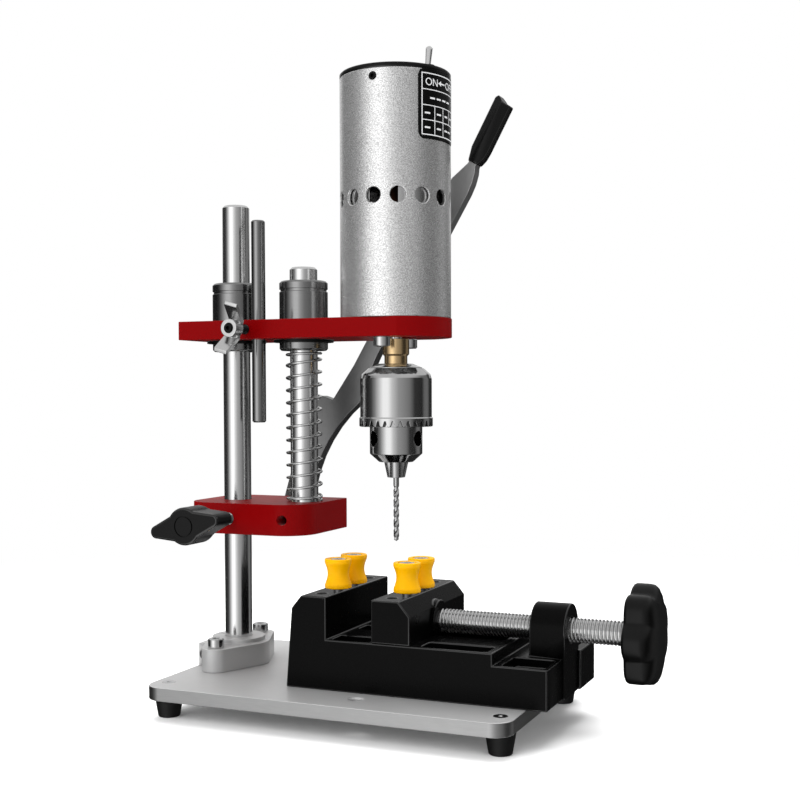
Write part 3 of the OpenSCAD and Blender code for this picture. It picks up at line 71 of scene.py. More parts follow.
def linear(hex_colour):
    """Turns an sRGB hex colour such as b01217 into linear red, green, blue and alpha."""
    parts = [int(hex_colour[i:i + 2], 16) / 255 for i in (0, 2, 4)]
    return tuple(p / 12.92 if p <= 0.04045 else ((p + 0.055) / 1.055) ** 2.4
                 for p in parts) + (1.0,)


def colour(label, hex_colour):
    """A colour that a user can change."""
    return bpy.props.FloatVectorProperty(name=label, description=label + " of the finish",
                                         subtype="COLOR", size=4, min=0, max=1,
                                         default=linear(hex_colour))


def length(label, text, default, low, high, unit="NONE"):
    """A length in millimetres that a user can change."""
    return bpy.props.FloatProperty(name=label, description=text + ", in millimetres",
                                   default=default, min=low, max=high, unit=unit)


def power(label, default):
    """A light's power in watts that a user can change."""
    return bpy.props.FloatProperty(name=label, description=label + "'s power, in watts",
                                   default=default, min=0, max=400, unit="POWER")


class PressFinish(bpy.types.PropertyGroup):
    """Colours of the drill press."""

    red: colour("Red anodising", "700002")
    plate: colour("Base plate", "b9b9b9")
    housing: colour("Motor housing", "d4d4d4")
    chrome: colour("Chrome", "d9d9d9")
    bearing: colour("Bearing steel", "8c8c8c")
    lever: colour("Lever plate", "8f8f8f")
    bright: colour("Bright steel", "cccccc")
    tool: colour("Tool steel", "b4b4b4")
    brass: colour("Brass", "d9ba8c")
    copper: colour("Copper winding", "331a0e")
    casting: colour("Black casting", "030303")
    plastic: colour("Black plastic", "040404")
    rubber: colour("Rubber", "0a0a0a")
    nylon: colour("Yellow nylon", "efae00")
    label_ground: colour("Label", "030303")
    label_print: colour("Label print", "d9dadb")


class PressDetail(bpy.types.PropertyGroup):
    """Sizes of the details that the frame leaves to the scene."""

    wire: length("Spring wire", "Diameter of the return spring's wire", 1.15, 0.6, 1.4)
    thread_pitch: length("Thread pitch", "Pitch of the lead screw's thread", 1.5, 0.8, 2.5)
    flute_pitch: length("Flute pitch", "Length of one turn of the drill bit's flutes",
                        8.5, 4, 16)
    label_height: length("Label height", "Height of the label on the motor housing",
                         27.9, 15, 40)
    label_width: length("Label width", "Width of the label along the housing", 25.2, 15, 40)


class PressStage(bpy.types.PropertyGroup):
    """Camera and studio."""

    lens: length("Lens", "Focal length of the camera", 56.37, 20, 120, unit="CAMERA")
    floor: colour("Floor", "f4f4f4")
    overhead: power("Overhead softbox", 20)
    key: power("Key softbox", 9)


# Materials: a grain too fine to show in the render is drawn as coarse as it needs to show

METAL = {"Metallic": 1.0}
BROAD = 14  # width of a patch of uneven gloss, in fine grains


def add(tree, kind, sockets=None, links=None, **settings):
    """Adds a node, sets its own settings and its sockets' values, and links its sockets."""
    node = tree.nodes.new(kind)
    for name, value in settings.items():
        setattr(node, name, value)
    for name, value in (sockets or {}).items():
        node.inputs[name].default_value = value
    for name, output in (links or {}).items():
        tree.links.new(output, node.inputs[name])
    return node


def emptied(owner):
    """The node tree of a material or a world, without the nodes that it comes with."""
    owner.use_nodes = True
    owner.node_tree.nodes.clear()
    return owner.node_tree


def blank(name, sockets):
    """A new material: its node tree, its surface shader and its object coordinates."""
    material = bpy.data.materials.new(name)
    tree = emptied(material)
    shader = add(tree, "ShaderNodeBsdfPrincipled", sockets)
    add(tree, "ShaderNodeOutputMaterial", links={"Surface": shader.outputs[0]})
    coords = add(tree, "ShaderNodeTexCoord").outputs["Object"]
    return material, tree, shader, coords


def grain(tree, coords, size_mm, detail=3.0, stretch=(1, 1, 1)):
    """Noise with grains of a real size, drawn out along an axis where stretch is small."""
    scale = tuple(s / (size_mm * MM) for s in stretch)
    placed = add(tree, "ShaderNodeMapping", {"Scale": scale}, {"Vector": coords})
    return add(tree, "ShaderNodeTexNoise", {"Scale": 1.0, "Detail": detail},
               {"Vector": placed.outputs["Vector"]}).outputs["Fac"]


def shade(colour_value, factor):
    """A lighter or darker colour."""
    return tuple(min(1.0, c * factor) for c in colour_value[:3]) + (1.0,)


def texture(tree, shader, coords, *, rough, size_mm, bump_mm, stretch=(1, 1, 1), detail=3.0):
    """Gives a shader a bump from a fine grain, which it returns, and a broad uneven gloss."""
    fine = grain(tree, coords, size_mm, detail, stretch)
    broad = grain(tree, coords, size_mm * BROAD)
    gloss = add(tree, "ShaderNodeMapRange", {"To Min": rough[0], "To Max": rough[1]},
                {"Value": broad})
    bump = add(tree, "ShaderNodeBump", {"Strength": 1.0, "Distance": bump_mm * MM},
               {"Height": fine})
    tree.links.new(gloss.outputs["Result"], shader.inputs["Roughness"])
    tree.links.new(bump.outputs["Normal"], shader.inputs["Normal"])
    return fine


def plain(name, base, sockets, spread, **look):
    """A material of one base colour, which its fine grain spreads a little both ways."""
    material, tree, shader, coords = blank(name, sockets)
    fine = texture(tree, shader, coords, **look)
    tint = add(tree, "ShaderNodeMix",
               {"A": shade(base, 1 - spread), "B": shade(base, 1 + spread)},
               {"Factor": fine}, data_type="RGBA")
    tree.links.new(tint.outputs[2], shader.inputs["Base Color"])
    return material


def anodised_red(finish):
    """Milled aluminium plate, dyed and sealed: a deep even red with a satin gloss."""
    return plain("anodised_red", finish.red, {"Specular IOR Level": 0.05}, spread=0.06,
                 rough=(0.3, 0.4), size_mm=0.35, bump_mm=0.002)


def satin_plate(finish):
    """Aluminium sheet, blasted and clear anodised: a pale fine-grained satin."""
    return plain("satin_anodised_aluminium", finish.plate, {"Metallic": 0.5}, spread=0.07,
                 rough=(0.36, 0.46), size_mm=0.3, bump_mm=0.004)


def sawn_edge(finish):
    """The edge of the aluminium sheet: fine lines along it from the cutter."""
    return plain("milled_aluminium", shade(finish.plate, 0.75), METAL, spread=0.1,
                 rough=(0.3, 0.4), size_mm=0.25, bump_mm=0.004, stretch=(0.05, 0.05, 1))


def blasted_housing(finish):
    """Aluminium tube, bead-blasted: a fine bumpy grain, with bright and dark specks painted
    into its colour as glints.
    """
    material, tree, shader, coords = blank("bead_blasted_aluminium", {"Metallic": 0.82})
    fine = texture(tree, shader, coords, rough=(0.26, 0.28), size_mm=0.36, bump_mm=0.04,
                   detail=1.0)
    # The specks are painted glints: the fine grain lightens and darkens the base colour
    painted_glint_specks = add(tree, "ShaderNodeMapRange", {"From Min": 0.34, "From Max": 0.66},
                 {"Value": fine})
    tint = add(tree, "ShaderNodeMix",
               {"A": shade(finish.housing, 0.66), "B": shade(finish.housing, 1.3)},
               {"Factor": painted_glint_specks.outputs["Result"]}, data_type="RGBA")
    tree.links.new(tint.outputs[2], shader.inputs["Base Color"])
    return material


def chrome(finish):
    """Hard chrome on ground steel: a bright mirror, a little softened by the grinding."""
    return plain("hard_chrome", finish.chrome, METAL, spread=0.02, rough=(0.15, 0.2),
                 size_mm=0.4, bump_mm=0.0006, stretch=(1, 1, 0.5))


def turned_chrome(finish):
    """Chromed chuck: turned rings stay faintly visible under the plating."""
    return plain("turned_chrome", shade(finish.chrome, 0.75), METAL, spread=0.03,
                 rough=(0.08, 0.13), size_mm=0.22, bump_mm=0.0012, stretch=(0.02, 0.02, 1))


def ground_steel(finish):
    """Ground bearing steel: dark grey with fine rings around it."""
    return plain("ground_bearing_steel", finish.bearing, METAL, spread=0.06,
                 rough=(0.12, 0.2), size_mm=0.3, bump_mm=0.001, stretch=(0.03, 0.03, 1))


def lever_steel(finish):
    """Laser-cut steel plate with painted shade and light: darker on the cam end, painted
    brighter towards the grip.
    """
    material, tree, shader, coords = blank("steel_plate", METAL)
    fine = texture(tree, shader, coords, rough=(0.34, 0.46), size_mm=0.3, bump_mm=0.003,
                   stretch=(1, 1, 0.12))
    # Painted shade on the cam end fades by height into painted light towards the grip
    painted_shade_ends, painted_light_starts = 148 * MM, 182 * MM
    place = add(tree, "ShaderNodeSeparateXYZ", links={"Vector": coords})
    painted_shade_fade = add(tree, "ShaderNodeMapRange", {"From Min": painted_shade_ends, "From Max": painted_light_starts},
               {"Value": place.outputs["Z"]}, interpolation_type="SMOOTHSTEP")
    dark, light = [
        add(tree, "ShaderNodeMix", {"A": shade(finish.lever, least),
                                    "B": shade(finish.lever, most)},
            {"Factor": fine}, data_type="RGBA").outputs[2]
        for least, most in ((0.72, 0.85), (1.7, 1.95))]
    both = add(tree, "ShaderNodeMix",
               links={"Factor": painted_shade_fade.outputs["Result"], "A": dark, "B": light},
               data_type="RGBA")
    tree.links.new(both.outputs[2], shader.inputs["Base Color"])
    return material


def bright_steel(finish):
    """Bright plated screws and nuts."""
    return plain("bright_plated_steel", finish.bright, METAL, spread=0.05,
                 rough=(0.16, 0.26), size_mm=0.25, bump_mm=0.001)


def spring_wire(finish):
    """Drawn spring wire: bright, with a faint lay."""
    return plain("drawn_spring_wire", finish.bright, METAL, spread=0.04, rough=(0.14, 0.2),
                 size_mm=0.2, bump_mm=0.0008)


def cast_zinc(finish):
    """Die-cast wing nut, bright plated over a slightly uneven casting."""
    return plain("plated_zinc_casting", finish.bright, METAL, spread=0.06,
                 rough=(0.12, 0.26), size_mm=1.1, bump_mm=0.02)


def black_oxide(finish):
    """Black oxide on steel: near black with a soft metallic sheen."""
    return plain("black_oxide_steel", shade(finish.plastic, 1.6), {"Metallic": 0.7},
                 spread=0.15, rough=(0.3, 0.42), size_mm=0.3, bump_mm=0.001)


def tool_steel(finish):
    """Hardened tool steel, ground: mid grey and fairly sharp in its reflections."""
    return plain("ground_tool_steel", finish.tool, METAL, spread=0.06, rough=(0.18, 0.28),
                 size_mm=0.2, bump_mm=0.001)


def turned_brass(finish):
    """Turned brass: warm, with rings from the lathe tool."""
    return plain("turned_brass", finish.brass, METAL, spread=0.07, rough=(0.18, 0.28),
                 size_mm=0.22, bump_mm=0.002, stretch=(0.03, 0.03, 1))


def wound_copper(finish):
    """Enamelled copper winding on the armature."""
    return plain("enamelled_copper", finish.copper, {"Metallic": 0.9}, spread=0.2,
                 rough=(0.3, 0.4), size_mm=0.5, bump_mm=0.05, stretch=(1, 1, 0.1))


def magnet_ferrite(finish):
    """Sintered ferrite: dull charcoal grey."""
    return plain("sintered_ferrite", shade(finish.bearing, 0.3), {}, spread=0.1,
                 rough=(0.6, 0.7), size_mm=0.5, bump_mm=0.004)


def gloss_casting(finish):
    """Black stoved paint over cast metal: glossy, with the casting's orange peel."""
    return plain("black_enamelled_casting", finish.casting, {"Specular IOR Level": 0.06},
                 spread=0.25, rough=(0.2, 0.34), size_mm=1.3, bump_mm=0.016)


def moulded_black(finish):
    """Moulded thermoplastic: black with a fine spark-eroded texture."""
    return plain("moulded_black_plastic", finish.plastic, {"Specular IOR Level": 0.2},
                 spread=0.15, rough=(0.3, 0.4), size_mm=0.35, bump_mm=0.006)


def moulded_rubber(finish):
    """Moulded rubber: black and matt, a little dusty."""
    return plain("moulded_rubber", finish.rubber, {"Specular IOR Level": 0.25}, spread=0.25,
                 rough=(0.5, 0.62), size_mm=0.5, bump_mm=0.008)


def matt_black(finish):
    """Matt black plastic of the small electrical parts."""
    return plain("matt_black_plastic", finish.plastic, {"Specular IOR Level": 0.25},
                 spread=0.2, rough=(0.45, 0.55), size_mm=0.3, bump_mm=0.004)


def glossy_edge_painted_highlight(finish):
    """Rounded edges of black paint and plastic: rubbed smooth and glossy, and painted a little
    lighter as a painted highlight.
    """
    return plain("rubbed_black_edge_painted_highlight", shade(finish.casting, 2),
                 {"Coat Weight": 0.3, "Coat Roughness": 0.12}, spread=0.3,
                 rough=(0.16, 0.24), size_mm=0.6, bump_mm=0.004)


def yellow_nylon(finish):
    """Turned nylon: warm yellow and slightly waxy."""
    return plain("turned_yellow_nylon", finish.nylon, {"Specular IOR Level": 0.1},
                 spread=0.05, rough=(0.3, 0.4), size_mm=0.8, bump_mm=0.006,
                 stretch=(0.2, 0.2, 1))


def label_ground(finish):
    """Printed foil label: smooth black ground."""
    return plain("label_ground", finish.label_ground, {"Specular IOR Level": 0.25},
                 spread=0.1, rough=(0.28, 0.34), size_mm=0.6, bump_mm=0.001)


def label_print(finish):
    """Pale screen print on the label."""
    return plain("label_print", finish.label_print, {}, spread=0.04, rough=(0.4, 0.5),
                 size_mm=0.4, bump_mm=0.0005)


MATERIALS = {}  # each maker function's material, once it is made
# Rounded black edges get a glossier finish with a painted highlight in its colour
EDGES = {gloss_casting: glossy_edge_painted_highlight, moulded_black: glossy_edge_painted_highlight}  # finish of rounded edges


def finish_for(maker):
    """The one material that a maker function gives, made when it is first asked for."""
    if maker not in MATERIALS:
        MATERIALS[maker] = maker(bpy.context.scene.press_finish)
    return MATERIALS[maker]


# Pieces

SHARP = 35  # degrees of fold past which an edge is rounded
SMOOTH = 38  # degrees of fold up to which two faces shade as one
# On the chuck the second finish is painted shade in the key holes and tooth gaps
ROUNDED, OTHER = 1, 2  # a piece's material slots for rounded edges and for a second finish


def sharp_edges(bm, degrees=SHARP):
    """The edges that fold by more than an angle."""
    return [e for e in bm.edges if len(e.link_faces) == 2
            and e.calc_face_angle(0) > math.radians(degrees)]


def roomy(edge, offset):
    """Whether the faces beside an edge are wide enough for a rounding of this offset."""
    crossing, room = 0.6, 2.2 * offset
    way = (edge.verts[1].co - edge.verts[0].co).normalized()
    sides = set(edge.link_faces)
    for vert in edge.verts:
        for other in vert.link_edges:
            if other is not edge and sides & set(other.link_faces):
                run = other.other_vert(vert).co - vert.co
                across, along = run.cross(way).length, abs(run.dot(way))
                if across > crossing * along and across < room:
                    return False
    return True


def round_edges(bm, edges, offset, segments=2):
    """Rounds those edges that have room for it, by an offset in millimetres."""
    edges = [edge for edge in edges if roomy(edge, offset)]
    if edges:
        made = bmesh.ops.bevel(bm, geom=edges, offset=offset, offset_type="OFFSET",
                               segments=segments, profile=0.5, affect="EDGES",
                               clamp_overlap=False, material=-1)
        for face in made["faces"]:
            face.material_index = ROUNDED


def finished(bm, name, maker, nodes, body=None, smooth=SMOOTH, normals=True):
    """Makes a piece from a bmesh in millimetres: its mesh, finish, body and CAD nodes."""
    mesh = bpy.data.meshes.new(name)
    bm.to_mesh(mesh)
    bm.free()
    mesh.transform(Matrix.Scale(MM, 4))
    mesh.polygons.foreach_set("use_smooth", [True] * len(mesh.polygons))
    mesh.set_sharp_from_angle(angle=math.radians(smooth))
    mesh.materials.append(finish_for(maker))
    mesh.materials.append(finish_for(EDGES.get(maker, maker)))
    piece = bpy.data.objects.new(name, mesh)
    bpy.context.scene.collection.objects.link(piece)
    if normals:
        weighted = piece.modifiers.new("weighted_normals", "WEIGHTED_NORMAL")
        weighted.keep_sharp = True
    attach(piece, body or BODY[nodes[0]])
    if nodes:
        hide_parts(*nodes)
    return piece


def whole_copy(node):
    """A bmesh in millimetres of a CAD node, merged, with its flat faces in one piece."""
    same_point, same_plane = 0.0005, math.radians(0.3)
    bm = bmesh.new()
    bm.from_mesh(frame["nodes"][node].data)
    bmesh.ops.scale(bm, vec=(1 / MM,) * 3, verts=bm.verts)
    bmesh.ops.remove_doubles(bm, verts=bm.verts, dist=same_point)
    bmesh.ops.dissolve_limit(bm, angle_limit=same_plane, verts=bm.verts, edges=bm.edges)
    return bm


def dress(node, maker, edge, segments=2, smooth=SMOOTH):
    """Rounds a CAD node's sharp edges, by so many millimetres, and gives it its finish."""
    bm = whole_copy(node)
    round_edges(bm, sharp_edges(bm), edge, segments)
    return finished(bm, node + "_finished", maker, [node], smooth=smooth)


def paint(node, maker):
    """Gives a CAD node that keeps its shape its finish."""
    mesh = frame["nodes"][node].data
    mesh.materials.clear()
    mesh.materials.append(finish_for(maker))


def middle(node):
    """Middle of a CAD node's box, in millimetres."""
    low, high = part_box(node)
    return (low + high) / (2 * MM)


def low_of(node):
    """Lowest corner of a CAD node's box, in millimetres."""
    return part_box(node)[0] / MM


def high_of(node):
    """Highest corner of a CAD node's box, in millimetres."""
    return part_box(node)[1] / MM


def radius_of(node):
    """Half of a CAD node's width along X, in millimetres."""
    low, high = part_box(node)
    return (high.x - low.x) / (2 * MM)


def new_verts(made):
    """The vertices among what an extrusion made."""
    return [g for g in made["geom"] if isinstance(g, bmesh.types.BMVert)]


def helix(bm, geom, centre, axis, rise, turns, steps_per_turn):
    """Spins geometry along a helix, which rises so much a turn; returns its last section."""
    steps = max(3, round(abs(turns) * steps_per_turn))
    step_rise = rise * abs(turns) / steps
    made = bmesh.ops.spin(bm, geom=geom, cent=centre, axis=axis,
                          dvec=tuple(step_rise * a for a in axis),
                          angle=turns * FULL_TURN, steps=steps)
    return made["geom_last"]


class PRESS_OT_base(bpy.types.Operator):
    """Base plate, its feet and the column's flange"""

    bl_idname = "press.base"
    bl_label = "Base plate and flange"

    def execute(self, context):
        plate = dress("base_plate", satin_plate, edge=0.45, segments=3)
        plate.data.materials.append(finish_for(sawn_edge))
        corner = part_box("base_plate")[1]
        border, upright = 9 * MM, 0.3
        for face in plate.data.polygons:
            outside = (abs(face.center.x) > corner.x - border
                       or abs(face.center.y) > corner.y - border)
            face.material_index = OTHER if outside and abs(face.normal.z) < upright else 0
        dress("feet", moulded_rubber, edge=0.5, segments=3)
        dress("foot_screws", bright_steel, edge=0.12)
        dress("column_flange", satin_plate, edge=0.3)
        dress("flange_screws", bright_steel, edge=0.25)
        dress("flange_clamp_screw", black_oxide, edge=0.2)
        return {"FINISHED"}


class PRESS_OT_shafts(bpy.types.Operator):
    """Column, guide shaft and depth rod"""

    bl_idname = "press.shafts"
    bl_label = "Shafts"

    def execute(self, context):
        for node in ("column", "guide_shaft"):
            dress(node, chrome, edge=0.12)
        dress("depth_rod", ground_steel, edge=0.12)
        return {"FINISHED"}


class PRESS_OT_plates(bpy.types.Operator):
    """Red lower block and red head plate"""

    bl_idname = "press.plates"
    bl_label = "Red plates"

    def execute(self, context):
        for node in ("lower_block", "head_plate"):
            plate = dress(node, anodised_red, edge=0.3, segments=3)
            plate.visible_glossy = False
        dress("guide_set_screw", black_oxide, edge=0.12)
        paint("lock_pad", turned_brass)
        return {"FINISHED"}


class PRESS_OT_bearings(bpy.types.Operator):
    """Linear bearings and their retaining rings"""

    bl_idname = "press.bearings"
    bl_label = "Linear bearings"

    def execute(self, context):
        dress("linear_bearings", ground_steel, edge=0.15)
        dress("retaining_rings", black_oxide, edge=0.15)
        return {"FINISHED"}


class PRESS_OT_spring(bpy.types.Operator):
    """Return spring around the guide shaft"""

    bl_idname = "press.spring"
    bl_label = "Return spring"

    def execute(self, context):
        wire = context.scene.press_detail.wire
        centre = middle("guide_shaft")
        low, high = low_of("return_spring"), high_of("return_spring")
        coil_r = (high.y - low.y - wire) / 2
        open_turns, end_gap, steps = 11.4, 0.06, 36
        end_rise = wire + end_gap
        rise = (high.z - low.z - wire - 2 * end_rise) / open_turns
        bm = bmesh.new()
        made = bmesh.ops.create_circle(bm, cap_ends=True, radius=wire / 2, segments=12)
        bmesh.ops.rotate(bm, verts=made["verts"], cent=(0, 0, 0),
                         matrix=Matrix.Rotation(math.pi / 2, 3, "X"))
        bmesh.ops.translate(bm, verts=made["verts"],
                            vec=(centre.x + coil_r, centre.y, low.z + wire / 2))
        geom = list(bm.verts) + list(bm.edges) + list(bm.faces)
        shaft, up = (centre.x, centre.y, 0), (0, 0, 1)
        for rise_per_turn, turns in ((end_rise, 1), (rise, open_turns), (end_rise, 1)):
            geom = helix(bm, geom, shaft, up, rise_per_turn, turns, steps)
        bmesh.ops.recalc_face_normals(bm, faces=bm.faces)
        spring = finished(bm, "return_spring_wire", spring_wire, ["return_spring"],
                          smooth=60, normals=False)
        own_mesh(spring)
        return {"FINISHED"}


class PRESS_OT_lever(bpy.types.Operator):
    """Lever plate, its grip, pivot and roller"""

    bl_idname = "press.lever"
    bl_label = "Lever"

    def execute(self, context):
        dress("lever_arm", lever_steel, edge=0.3, smooth=30)
        dress("lever_grip", moulded_black, edge=0.6, segments=3)
        dress("pivot_screw", bright_steel, edge=0.2)
        dress("pivot_washer", bright_steel, edge=0.1)
        dress("roller_screw", bright_steel, edge=0.15)
        dress("roller", bright_steel, edge=0.2)
        return {"FINISHED"}


class PRESS_OT_knobs(bpy.types.Operator):
    """Lock knob and wing nut"""

    bl_idname = "press.knobs"
    bl_label = "Lock knob and wing nut"

    def execute(self, context):
        dress("lock_knob", moulded_black, edge=0.9, segments=4)
        dress("lock_screw", bright_steel, edge=0.1)
        dress("wing_nut", cast_zinc, edge=0.35, segments=3)
        dress("wing_stud", black_oxide, edge=0.1)
        return {"FINISHED"}


class PRESS_OT_motor(bpy.types.Operator):
    """Motor housing, cap, motor and switch"""

    bl_idname = "press.motor"
    bl_label = "Motor"

    def execute(self, context):
        vent_fold = 40
        bm = whole_copy("motor_housing")
        round_edges(bm, sharp_edges(bm, vent_fold), 0.3)
        housing = finished(bm, "motor_housing_finished", blasted_housing,
                           ["motor_housing"], normals=False)
        round_wall(housing, middle("motor_housing"), radius_of("motor_housing"))
        dress("top_cap", moulded_black, edge=0.4, segments=3)
        dress("cap_screws", black_oxide, edge=0.12)
        dress("switch_lever", chrome, edge=0.15)
        dress("panel_nuts", bright_steel, edge=0.2)
        dress("power_inlet", matt_black, edge=0.2)
        dress("motor_screws", bright_steel, edge=0.25)
        dress("motor_can", bright_steel, edge=0.15)
        paint("switch_body", matt_black)
        paint("motor_end_bell", matt_black)
        paint("motor_magnets", magnet_ferrite)
        paint("motor_bushes", turned_brass)
        paint("armature", wound_copper)
        paint("motor_shaft", bright_steel)
        return {"FINISHED"}


def round_wall(piece, centre, radius):
    """Gives the faces on a housing's round wall the true normals of a cylinder."""
    mesh = piece.data
    near = 0.05
    normals = [tuple(corner.vector) for corner in mesh.corner_normals]
    for face in mesh.polygons:
        points = [mesh.vertices[v].co / MM for v in face.vertices]
        reach = [math.hypot(p.x - centre.x, p.y - centre.y) for p in points]
        if min(reach) > radius - near:
            for loop, point in zip(face.loop_indices, points):
                way = Vector((point.x - centre.x, point.y - centre.y, 0)).normalized()
                normals[loop] = tuple(way)
    mesh.normals_split_custom_set(normals)


class PRESS_OT_label(bpy.types.Operator):
    """Plain ruled label on the motor housing"""

    bl_idname = "press.label"
    bl_label = "Label"

    def execute(self, context):
        detail = context.scene.press_detail
        wide, tall = detail.label_width, detail.label_height
        gap, foil, ink, sunk = 0.02, 0.14, 0.05, 0.005
        ground = bmesh.new()
        slab(ground, 0, wide, 0, tall, foil, corner=2.6)
        self.stick(ground, "label_ground", label_ground, gap)
        marks = bmesh.new()
        self.table(marks, wide, tall, ink)
        self.switch_row(marks, ink)
        self.stick(marks, "label_print", label_print, gap + foil - sunk)
        return {"FINISHED"}

    def stick(self, bm, name, maker, lift):
        """Wraps a flat mesh round the housing, a little off its wall, and finishes it."""
        centre, radius = middle("motor_housing"), radius_of("motor_housing")
        left_edge, drop = math.radians(-43.6), 28.0
        foot = high_of("motor_housing").z - drop
        for v in bm.verts:
            turn = left_edge + v.co.x / radius
            out = radius + lift + v.co.y
            v.co = Vector((centre.x + out * math.cos(turn),
                           centre.y + out * math.sin(turn), foot + v.co.z))
        bmesh.ops.recalc_face_normals(bm, faces=bm.faces)
        piece = finished(bm, name, maker, [], body=BODY["motor_housing"])

    def table(self, bm, wide, tall, ink):
        """The label's border, its ruled cells and the plain dashes in them."""
        inset, line = 1.5, 0.42
        right, top, thin = wide - inset, tall - inset, line * 0.8
        for x0, x1, z0, z1 in (
                (inset, right, inset, inset + line), (inset, right, top - line, top),
                (inset, inset + line, inset, top), (right - line, right, inset, top)):
            slab(bm, x0, x1, z0, z1, ink)
        low_rule, middle_rule, high_rule = 7.4, 13.3, 19.6
        for z in (low_rule, middle_rule, high_rule):
            slab(bm, inset, right, z, z + thin, ink)
        for x, foot in ((7.9, inset), (13.2, inset), (18.6, low_rule)):
            slab(bm, x, x + thin, foot, middle_rule, ink)
        dash_long, dash_tall = 2.6, 0.7
        dash_rows = {10.0: (3.0, 9.3, 14.6, 20.0), 4.2: (3.0, 9.3, 14.6, 17.8),
                     16.1: (5.6, 9.2, 12.8, 16.4)}
        for z, starts in dash_rows.items():
            for x in starts:
                slab(bm, x, x + dash_long, z, z + dash_tall, ink)

    def switch_row(self, bm, ink):
        """The switch's two words with an arrow between them."""
        row, letters_drop, letter_size = 23.0, 1.55, 4.3
        point, neck, tail = 10.2, 12.0, 14.6
        barb, half_shaft, overlap = 1.1, 0.3, 0.8
        slab(bm, neck - overlap, tail, row - half_shaft, row + half_shaft, ink)
        head = bmesh.ops.create_circle(bm, cap_ends=True, radius=1, segments=3)["verts"]
        for v, (x, z) in zip(head, ((point, row), (neck, row - barb), (neck, row + barb))):
            v.co = Vector((x, 0, z))
        thicken(bm, head, ink)
        for word, x in (("ON", 3.2), ("OFF", 15.2)):
            lettering(bm, word, x, row - letters_drop, letter_size, ink)


def thicken(bm, verts, thick):
    """Gives the flat faces between some vertices a thickness along Y."""
    faces = list(dict.fromkeys(f for v in verts for f in v.link_faces))
    grown = bmesh.ops.extrude_face_region(bm, geom=faces)
    bmesh.ops.translate(bm, verts=new_verts(grown), vec=(0, thick, 0))


def slab(bm, x0, x1, z0, z1, thick, corner=0.0):
    """A thin flat plate standing in X and Z, in short strips so that it can be wrapped."""
    strip = 0.8
    strips = max(1, round((x1 - x0) / strip))
    made = bmesh.ops.create_grid(bm, x_segments=strips, y_segments=1, size=0.5)
    for v in made["verts"]:
        v.co = Vector((x0 + (v.co.x + 0.5) * (x1 - x0), 0,
                       z0 + (v.co.y + 0.5) * (z1 - z0)))
        near = min(v.co.x - x0, x1 - v.co.x)
        if near < corner:
            cut = corner - math.sqrt(max(0.0, corner ** 2 - (corner - near) ** 2))
            v.co.z += cut if v.co.z < (z0 + z1) / 2 else -cut
    thicken(bm, made["verts"], thick)


def lettering(bm, word, x, z, size, thick):
    """A generic word for the switch, as thin raised letters."""
    font = bpy.data.curves.new("switch_word", "FONT")
    font.body = word
    font.size = size
    font.extrude = thick / 2
    holder = bpy.data.objects.new("switch_word", font)
    bpy.context.scene.collection.objects.link(holder)
    mesh = bpy.data.meshes.new_from_object(
        holder.evaluated_get(bpy.context.evaluated_depsgraph_get()))
    upright = Matrix.Rotation(math.pi / 2, 4, "X")
    mesh.transform(Matrix.Translation((x, thick / 2, z)) @ upright)
    bm.from_mesh(mesh)
    bpy.data.objects.remove(holder)


